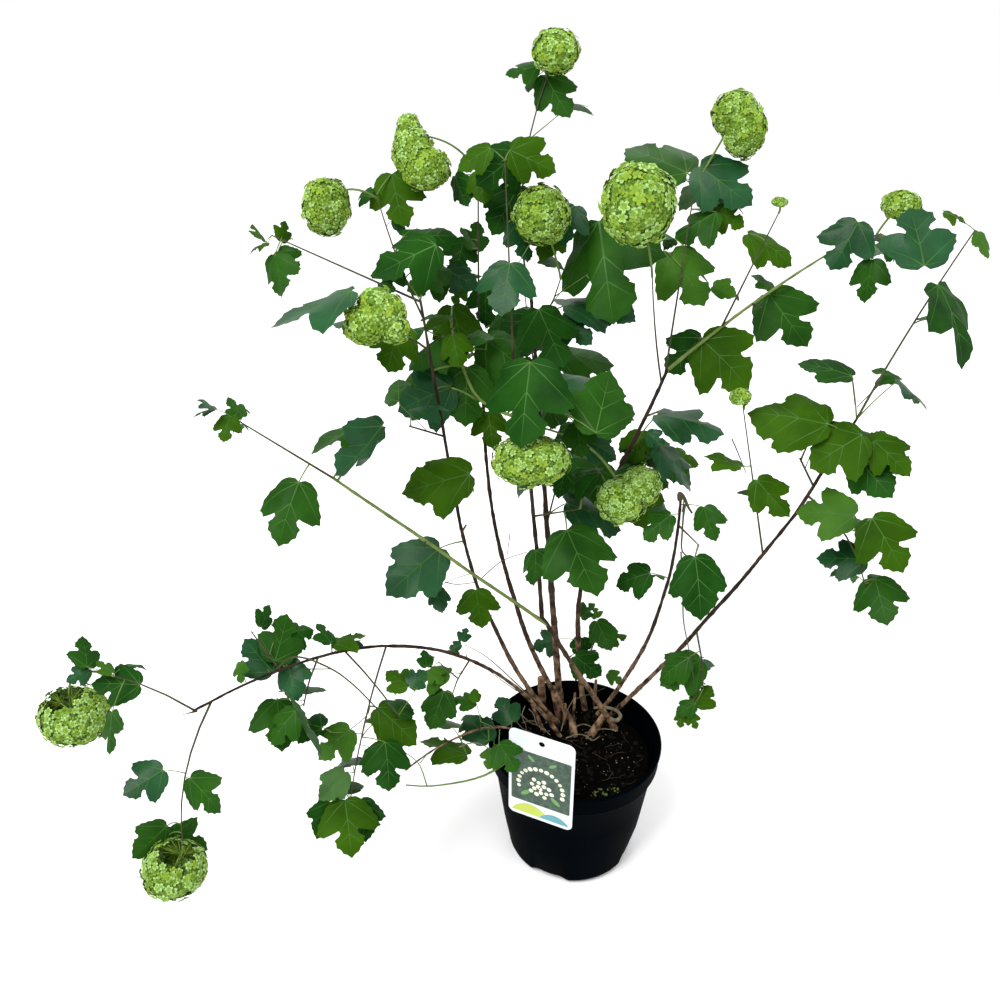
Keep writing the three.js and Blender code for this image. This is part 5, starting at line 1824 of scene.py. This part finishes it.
def pot_profile():
    foot = [
        (BASE_RADIUS - FOOT_ROUNDING * (1 - math.sin(angle)), FOOT_ROUNDING * (1 - math.cos(angle)))
        for angle in np.linspace(0, math.pi / 2, 7)
    ]
    band = RIM_RADIUS - LIP["depth"]
    inside = band - POT_WALL
    low = body_radius(SHOULDER)
    slope_top = SHOULDER + COLLAR["slope"]
    return [
        (0, 0), (FLAT_RADIUS, 0), *foot, *((body_radius(z), z) for z in WALL_RINGS), (low, SHOULDER),
        (band, slope_top), (band, POT_HEIGHT - LIP["height"]), (RIM_RADIUS, POT_HEIGHT - LIP["height"] + 1),
        (RIM_RADIUS, POT_HEIGHT - 1), (RIM_RADIUS - 1, POT_HEIGHT), (inside, POT_HEIGHT),
        (inside, slope_top + LEDGE["rise"]), (inside - LEDGE["width"], slope_top + LEDGE["rise"]),
        (inside - LEDGE["width"], slope_top), (low - POT_WALL, SHOULDER),
        (body_radius(WALL_RINGS[0]) - POT_WALL, WALL_RINGS[0]),
        (BASE_RADIUS - FOOT_ROUNDING, FLOOR_TOP), (0, FLOOR_TOP),
    ]


def spun(profile, steps):
    """A bmesh of a profile of radii and heights spun round the upright axis, in metres."""
    bm = bmesh.new()
    verts = [bm.verts.new((radius * MM, 0, z * MM)) for radius, z in profile]
    edges = [bm.edges.new(pair) for pair in zip(verts, verts[1:])]
    bmesh.ops.spin(bm, geom=[*verts, *edges], cent=(0, 0, 0), axis=(0, 0, 1), angle=math.tau,
                   steps=steps, use_merge=True)
    bmesh.ops.remove_doubles(bm, verts=bm.verts[:], dist=1e-6)
    bmesh.ops.recalc_face_normals(bm, faces=bm.faces[:])
    return bm


def pot_mesh():
    bm = spun(pot_profile(), POT_STEPS)
    for vert in bm.verts:
        radius, z = vert.co.xy.length / MM, vert.co.z / MM
        turn = math.degrees(math.atan2(vert.co.y, vert.co.x)) - FOOT_NOTCH["turn"]
        around = (turn / 360 * FOOT_NOTCH["count"] + 0.5) % 1
        notch = min(1, max(0, (1 - abs(around - 0.5) / FOOT_NOTCH["share"]) * FOOT_NOTCH["steep"]))
        if z < 2 * FOOT_NOTCH["height"] and radius > FOOT_NOTCH["outside"]:
            drawn_in = FOOT_NOTCH["inward"] * notch * (1 - z / 2 / FOOT_NOTCH["height"])
            vert.co.xy *= (radius - drawn_in) / radius
            vert.co.z += max(0, FOOT_NOTCH["height"] - z) * notch * MM
    for face in bm.faces:
        face.smooth = True
    return mesh_from(bm, "nursery_pot")


pot_black = finish("pot_black", (0.0001, 0.0005, 0.0010), (0.0006, 0.0015, 0.0027), 0.52, scale=14.0,
                   contrast=1.8, grain=(900.0, 0.0002, 0.25), mirror=0.004)
nursery_pot = new_piece("nursery_pot", pot_mesh(), "pot_plastic", [pot_black], "pot")
edges = nursery_pot.modifiers.new("edges", "BEVEL")
edges.width = 0.5 * MM
edges.segments = 2
edges.limit_method = "ANGLE"
edges.angle_limit = math.radians(32)
print("pot:", len(nursery_pot.data.polygons), "faces before its rounded edges")

# %% [markdown]
# ## The compost
# Moist dark compost fills the pot to about three centimetres below the rim. It is a disc of many rings,
# lifted by noise.

# %% Compost
SOIL_RINGS = 30
SOIL_STEPS = 120
SOIL_RING = 104  # radius within which it is rough
SOIL_ROUGH = ((26.0, 2.2), (7.0, 1.3), (2.6, 0.6))
SOIL_SINK = 1.2


def soil_height(x, y):
    """The height of the compost's surface at a place, in millimetres."""
    lift = sum(depth * noise.noise(Vector((x / size, y / size, size))) for size, depth in SOIL_ROUGH)
    return SOIL_TOP - SOIL_SINK + lift


def soil_mesh():
    edge = body_radius(SHOULDER) - POT_WALL - 0.4
    rings = [(SOIL_RING * i / SOIL_RINGS, SOIL_TOP) for i in range(SOIL_RINGS + 1)]
    wall = WALL_RINGS[0]
    low, under = body_radius(wall) - POT_WALL - 0.6, FLOOR_TOP + 1
    bm = spun(rings + [(edge, SHOULDER - 1), (low, wall), (78, under), (0, under)], SOIL_STEPS)
    for vert in bm.verts:
        if vert.co.z > (SHOULDER + 1) * MM:
            vert.co.z = soil_height(vert.co.x / MM, vert.co.y / MM) * MM
    return mesh_from(bm, "compost")


soil_dark = finish("soil_dark", (0.0004, 0.0004, 0.0003), (0.0022, 0.0019, 0.0016), 0.92, scale=160.0,
                   contrast=3.0, grain=(700.0, 0.0015, 0.9), mirror=0.02)
compost = new_piece("compost", soil_mesh(), "potting_soil", [soil_dark], "soil")
print("compost:", len(compost.data.polygons), "faces")

# %% [markdown]
# On the compost lie bark chips, pale grains and a little moss. Each is a round lump of a few faces,
# stretched, turned and pushed about by dice.

# %% Chips, grains and moss
CHIPS = {  # how many, size in millimetres, and how flat
    "bark_chips": (230, (1.6, 5.0), 0.5),
    "pale_grains": (120, (0.5, 1.1), 0.9),
    "moss_bits": (26, (1.0, 2.2), 0.8),
}
chip_brown = finish("chip_brown", (0.0014, 0.0010, 0.0007), (0.0090, 0.0066, 0.0042), 0.85, scale=200.0,
                    mirror=0.05)
grain_pale = finish("grain_pale", (0.10, 0.08, 0.05), (0.32, 0.27, 0.20), 0.8, scale=200.0)
moss_green = finish("moss_green", (0.045, 0.075, 0.010), (0.130, 0.170, 0.035), 0.9, scale=300.0)
chip_finishes = {"bark_chips": chip_brown, "pale_grains": grain_pale, "moss_bits": moss_green}
MOSS = dict(place=(40, -75), spread=(34, 16))
CHIP_REACH = 98
CHIP_LIFT = 0.3


def scattered(name, count, sizes, flat):
    """Small rough lumps lying on the compost."""
    draw = seeded_draw(name)
    bm = bmesh.new()
    for _ in range(count):
        angle, out = math.tau * draw(), CHIP_REACH * math.sqrt(draw())
        x, y = out * math.cos(angle), out * math.sin(angle)
        if name == "moss_bits":
            x, y = (at + wide * (draw() - 0.5) for at, wide in zip(MOSS["place"], MOSS["spread"]))
        size = between(*sizes, draw)
        lump = bmesh.ops.create_icosphere(bm, subdivisions=1, radius=size * MM)["verts"]
        stretch = Matrix.Diagonal((between(0.5, 1.1, draw), between(0.9, 1.6, draw), flat))
        spin = Matrix.Rotation(math.tau * draw(), 3, "Z") @ Matrix.Rotation(draw() - 0.5, 3, "X")
        place = Vector((x, y, soil_height(x, y) + CHIP_LIFT * size)) * MM
        for vert in lump:
            vert.co = spin @ stretch @ (vert.co * between(0.75, 1.15, draw)) + place
    return mesh_from(bm, name)


for name, (count, sizes, flat) in CHIPS.items():
    new_piece(name, scattered(name, count, sizes, flat), "potting_soil", [chip_finishes[name]], "soil")


print("on the compost:", ", ".join(CHIPS))

# %% [markdown]
# Fine roots wander over the compost. Each is a thin tube whose heading changes a little at every step.

# %% Roots
ROOTS = dict(count=34, reach=90, steps=9, step=3.2, bend=0.9, lift=(0.4, 1.9), edge=99, radius=0.24)


def root_path(draw):
    angle, out = math.tau * draw(), ROOTS["reach"] * math.sqrt(draw())
    x, y = out * math.cos(angle), out * math.sin(angle)
    heading, points = math.tau * draw(), []
    for _ in range(ROOTS["steps"]):
        points.append((x, y, soil_height(x, y) + between(*ROOTS["lift"], draw)))
        heading += ROOTS["bend"] * (draw() - 0.5)
        x, y = x + ROOTS["step"] * math.cos(heading), y + ROOTS["step"] * math.sin(heading)
        if math.hypot(x, y) > ROOTS["edge"]:
            break
    return points, [ROOTS["radius"]] * len(points)


root_draw = seeded_draw("fine_roots")
root_paths = [path for path in (root_path(root_draw) for _ in range(ROOTS["count"])) if len(path[0]) > 2]
root_tan = finish("root_tan", (0.030, 0.022, 0.013), (0.110, 0.085, 0.055), 0.8, scale=120.0, mirror=0.05)
new_piece("fine_roots", tube_mesh("fine_roots", root_paths, 0), "potting_soil", [root_tan], "soil")
print("roots:", len(root_paths))

# %% [markdown]
# ## The picture card
# A wipe-clean card leans on the rim, with a tongue that hooks over it. Its print is generic: cream
# flowers and leaves on a green panel, over a lime and a teal field.

# %% Card
CARD = dict(width=90, height=146, thickness=0.9, corner=9, hole=4.2, hole_drop=13)
CARD_PLACE = dict(heading=245, bottom=150)
CARD_FINISHES = {  # dark, light, roughness, scale and contrast
    "card_white": ((0.58, 0.63, 0.66), (0.66, 0.70, 0.73), 0.35, 20.0, 1.2),
    "print_green": ((0.006, 0.024, 0.014), (0.030, 0.078, 0.042), 0.4, 150.0, 3.0),
    "print_cream": ((0.55, 0.56, 0.42), (0.80, 0.80, 0.66), 0.3, 300.0, 2.0),
    "print_leaf": ((0.07, 0.20, 0.05), (0.13, 0.30, 0.09), 0.3, 200.0, 2.0),
    "print_lime": ((0.36, 0.44, 0.04), (0.44, 0.52, 0.07), 0.3, 60.0, 1.5),
    "print_teal": ((0.06, 0.24, 0.28), (0.10, 0.32, 0.36), 0.3, 60.0, 1.5),
}
card_finishes = {name: finish(name, *values) for name, values in CARD_FINISHES.items()}
outward = towards(CARD_PLACE["heading"])
card_frame = Matrix([[*np.cross(UP, outward)], [*UP], [*outward]]).transposed().to_4x4()
card_frame.translation = outward * (RIM_RADIUS + GAP) + UP * CARD_PLACE["bottom"]


def round_rect(width, low, high, corner, steps=6):
    """A rectangle's outline with round corners, between two heights."""
    points = []
    corners_at = ((1, low, -90), (1, high, 0), (-1, high, 90), (-1, low, 180))
    for hand, height, first in corners_at:
        middle = (hand * (width / 2 - corner), height + (corner if height == low else -corner))
        for i in range(steps + 1):
            angle = math.radians(first + 90 * i / steps)
            points.append((middle[0] + corner * math.cos(angle), middle[1] + corner * math.sin(angle)))
    return points


def ring(x, y, radius, steps=24, flat=1.0, lean=0.0):
    points = []
    for i in range(steps):
        u, v = radius * math.cos(math.tau * i / steps), flat * radius * math.sin(math.tau * i / steps)
        across, up = u * math.cos(lean) - v * math.sin(lean), u * math.sin(lean) + v * math.cos(lean)
        points.append((x + across, y + up))
    return points


def card_piece(name, mesh, tint):
    new_piece(name, mesh, "label_card", [card_finishes[tint]], "plant_label")


def flat_piece(name, outlines, depth, lift, tint):
    """A flat plate from outlines on the card; an outline within another is a hole in it."""
    curve = bpy.data.curves.new(name, "CURVE")
    curve.dimensions = "2D"
    curve.fill_mode = "BOTH"
    curve.extrude = depth / 2
    for outline in outlines:
        spline = curve.splines.new("POLY")
        spline.points.add(len(outline) - 1)
        spline.points.foreach_set("co", [value for x, y in outline for value in (x, y, 0, 1)])
        spline.use_cyclic_u = True
    mesh = mesh_of_curve(curve)
    for step in (Matrix.Translation((0, 0, depth / 2 + lift)), card_frame, Matrix.Scale(MM, 4)):
        mesh.transform(step)
    bm = bmesh.new()
    bm.from_mesh(mesh)
    bmesh.ops.remove_doubles(bm, verts=bm.verts[:], dist=1e-7)
    bmesh.ops.recalc_face_normals(bm, faces=bm.faces[:])
    card_piece(name, mesh_from(bm, name), tint)


plate = round_rect(CARD["width"], 0, CARD["height"], CARD["corner"])
hole = ring(0, CARD["height"] - CARD["hole_drop"], CARD["hole"])
flat_piece("picture_card", [plate, hole], CARD["thickness"], 0, "card_white")
print("card:", CARD["width"], "by", CARD["height"], "mm")

# %% [markdown]
# The print lies on the card as thin plates of ink, because a mesh keeps a sharp edge in every view.

# %% Print of the card
PRINT_LIFT = 0.06
PANEL = dict(width=82, low=26, high=114, corner=2)
GARLAND = dict(count=15, middle=(0, 58), radius=31, flower=(2.5, 3.6), first=-12, last=192)
POSY = dict(count=15, middle=(0, 56), pitch=4.4, flower=(2.7, 3.4))
LEAF_PRINTS = [(-21, 42, 8, 0.7), (21, 42, 8, -0.7), (-14, 104, 6, 2.4), (16, 102, 6, 0.6)]
LEAF_FLATNESS = 0.4
FIELDS = {"card_lime_field": ((-40, 12, 5, 17), "print_lime", 1),
          "card_teal_field": ((0, 40, 5, 11), "print_teal", 2)}
HILL_POINTS, HILL_FULLNESS = 19, 0.7


def garland():
    """Round flowers in an arc with a larger cluster under it."""
    draw = seeded_draw("garland")
    spots = []
    for i in range(GARLAND["count"]):
        share = i / (GARLAND["count"] - 1)
        turn = math.radians(GARLAND["first"] + (GARLAND["last"] - GARLAND["first"]) * share)
        spots.append((GARLAND, GARLAND["radius"], turn))
    spots += [(POSY, POSY["pitch"] * math.sqrt(i), i * GOLDEN_TURN) for i in range(POSY["count"])]
    return [
        ring(part["middle"][0] + away * math.cos(turn), part["middle"][1] + away * math.sin(turn),
             between(*part["flower"], draw))
        for part, away, turn in spots
    ]


def hill(first, last, low, height):
    """A field with a rounded top at the foot of the card."""
    xs = np.linspace(first, last, HILL_POINTS)[::-1]
    rise = [abs(math.sin(math.pi * (x - first) / (last - first))) ** HILL_FULLNESS for x in xs]
    return [(first, low), (last, low)] + [(x, low + 1 + height * share) for x, share in zip(xs, rise)]


panel = round_rect(PANEL["width"], PANEL["low"], PANEL["high"], PANEL["corner"])
printed_leaves = [ring(x, y, radius, flat=LEAF_FLATNESS, lean=lean) for x, y, radius, lean in LEAF_PRINTS]
front = CARD["thickness"] + PRINT_LIFT
flat_piece("card_panel", [panel], PRINT_LIFT, CARD["thickness"], "print_green")
flat_piece("card_flowers", garland(), PRINT_LIFT, front, "print_cream")
flat_piece("card_leaves", printed_leaves, PRINT_LIFT, front, "print_leaf")
for name, (shape, tint, layers) in FIELDS.items():
    flat_piece(name, [hill(*shape)], PRINT_LIFT * layers, CARD["thickness"], tint)
print("printed:", "card_panel, card_flowers, card_leaves,", ", ".join(FIELDS))

# %% [markdown]
# A bent strip behind the card hooks over the rim. A few edges are swept sideways and then thickened.

# %% Tongue of the card
TONGUE = dict(width=24, drop=32, reach=9, thickness=0.72, over=0.45, card_side=(-0.2, -1.5))


def tongue_mesh():
    crest = POT_HEIGHT - CARD_PLACE["bottom"] + GAP
    over, (near, low) = TONGUE["over"], TONGUE["card_side"]
    path = [(near, crest + low), (over, crest + over), (-TONGUE["reach"], crest + over),
            (-TONGUE["reach"], crest - TONGUE["drop"])]
    bm = bmesh.new()
    verts = [bm.verts.new((-TONGUE["width"] / 2, y, z)) for z, y in path]
    edges = [bm.edges.new(pair) for pair in zip(verts, verts[1:])]
    swept = bmesh.ops.extrude_edge_only(bm, edges=edges)["geom"]
    moved = [part for part in swept if isinstance(part, bmesh.types.BMVert)]
    bmesh.ops.translate(bm, verts=moved, vec=(TONGUE["width"], 0, 0))
    bmesh.ops.solidify(bm, geom=bm.faces[:], thickness=TONGUE["thickness"])
    bmesh.ops.recalc_face_normals(bm, faces=bm.faces[:])
    mesh = mesh_from(bm, "card_tongue")
    mesh.transform(Matrix.Scale(MM, 4) @ card_frame)
    return mesh


card_piece("card_tongue", tongue_mesh(), "card_white")
print("tongue:", TONGUE["width"], "mm wide")

# %% [markdown]
# Last comes the finish of the floor.

# %% Close
floor_pale = finish("floor_pale", (0.925, 0.925, 0.925), (0.935, 0.935, 0.935), 0.9, scale=2.0, contrast=1.0)
floor.data.materials.append(floor_pale)
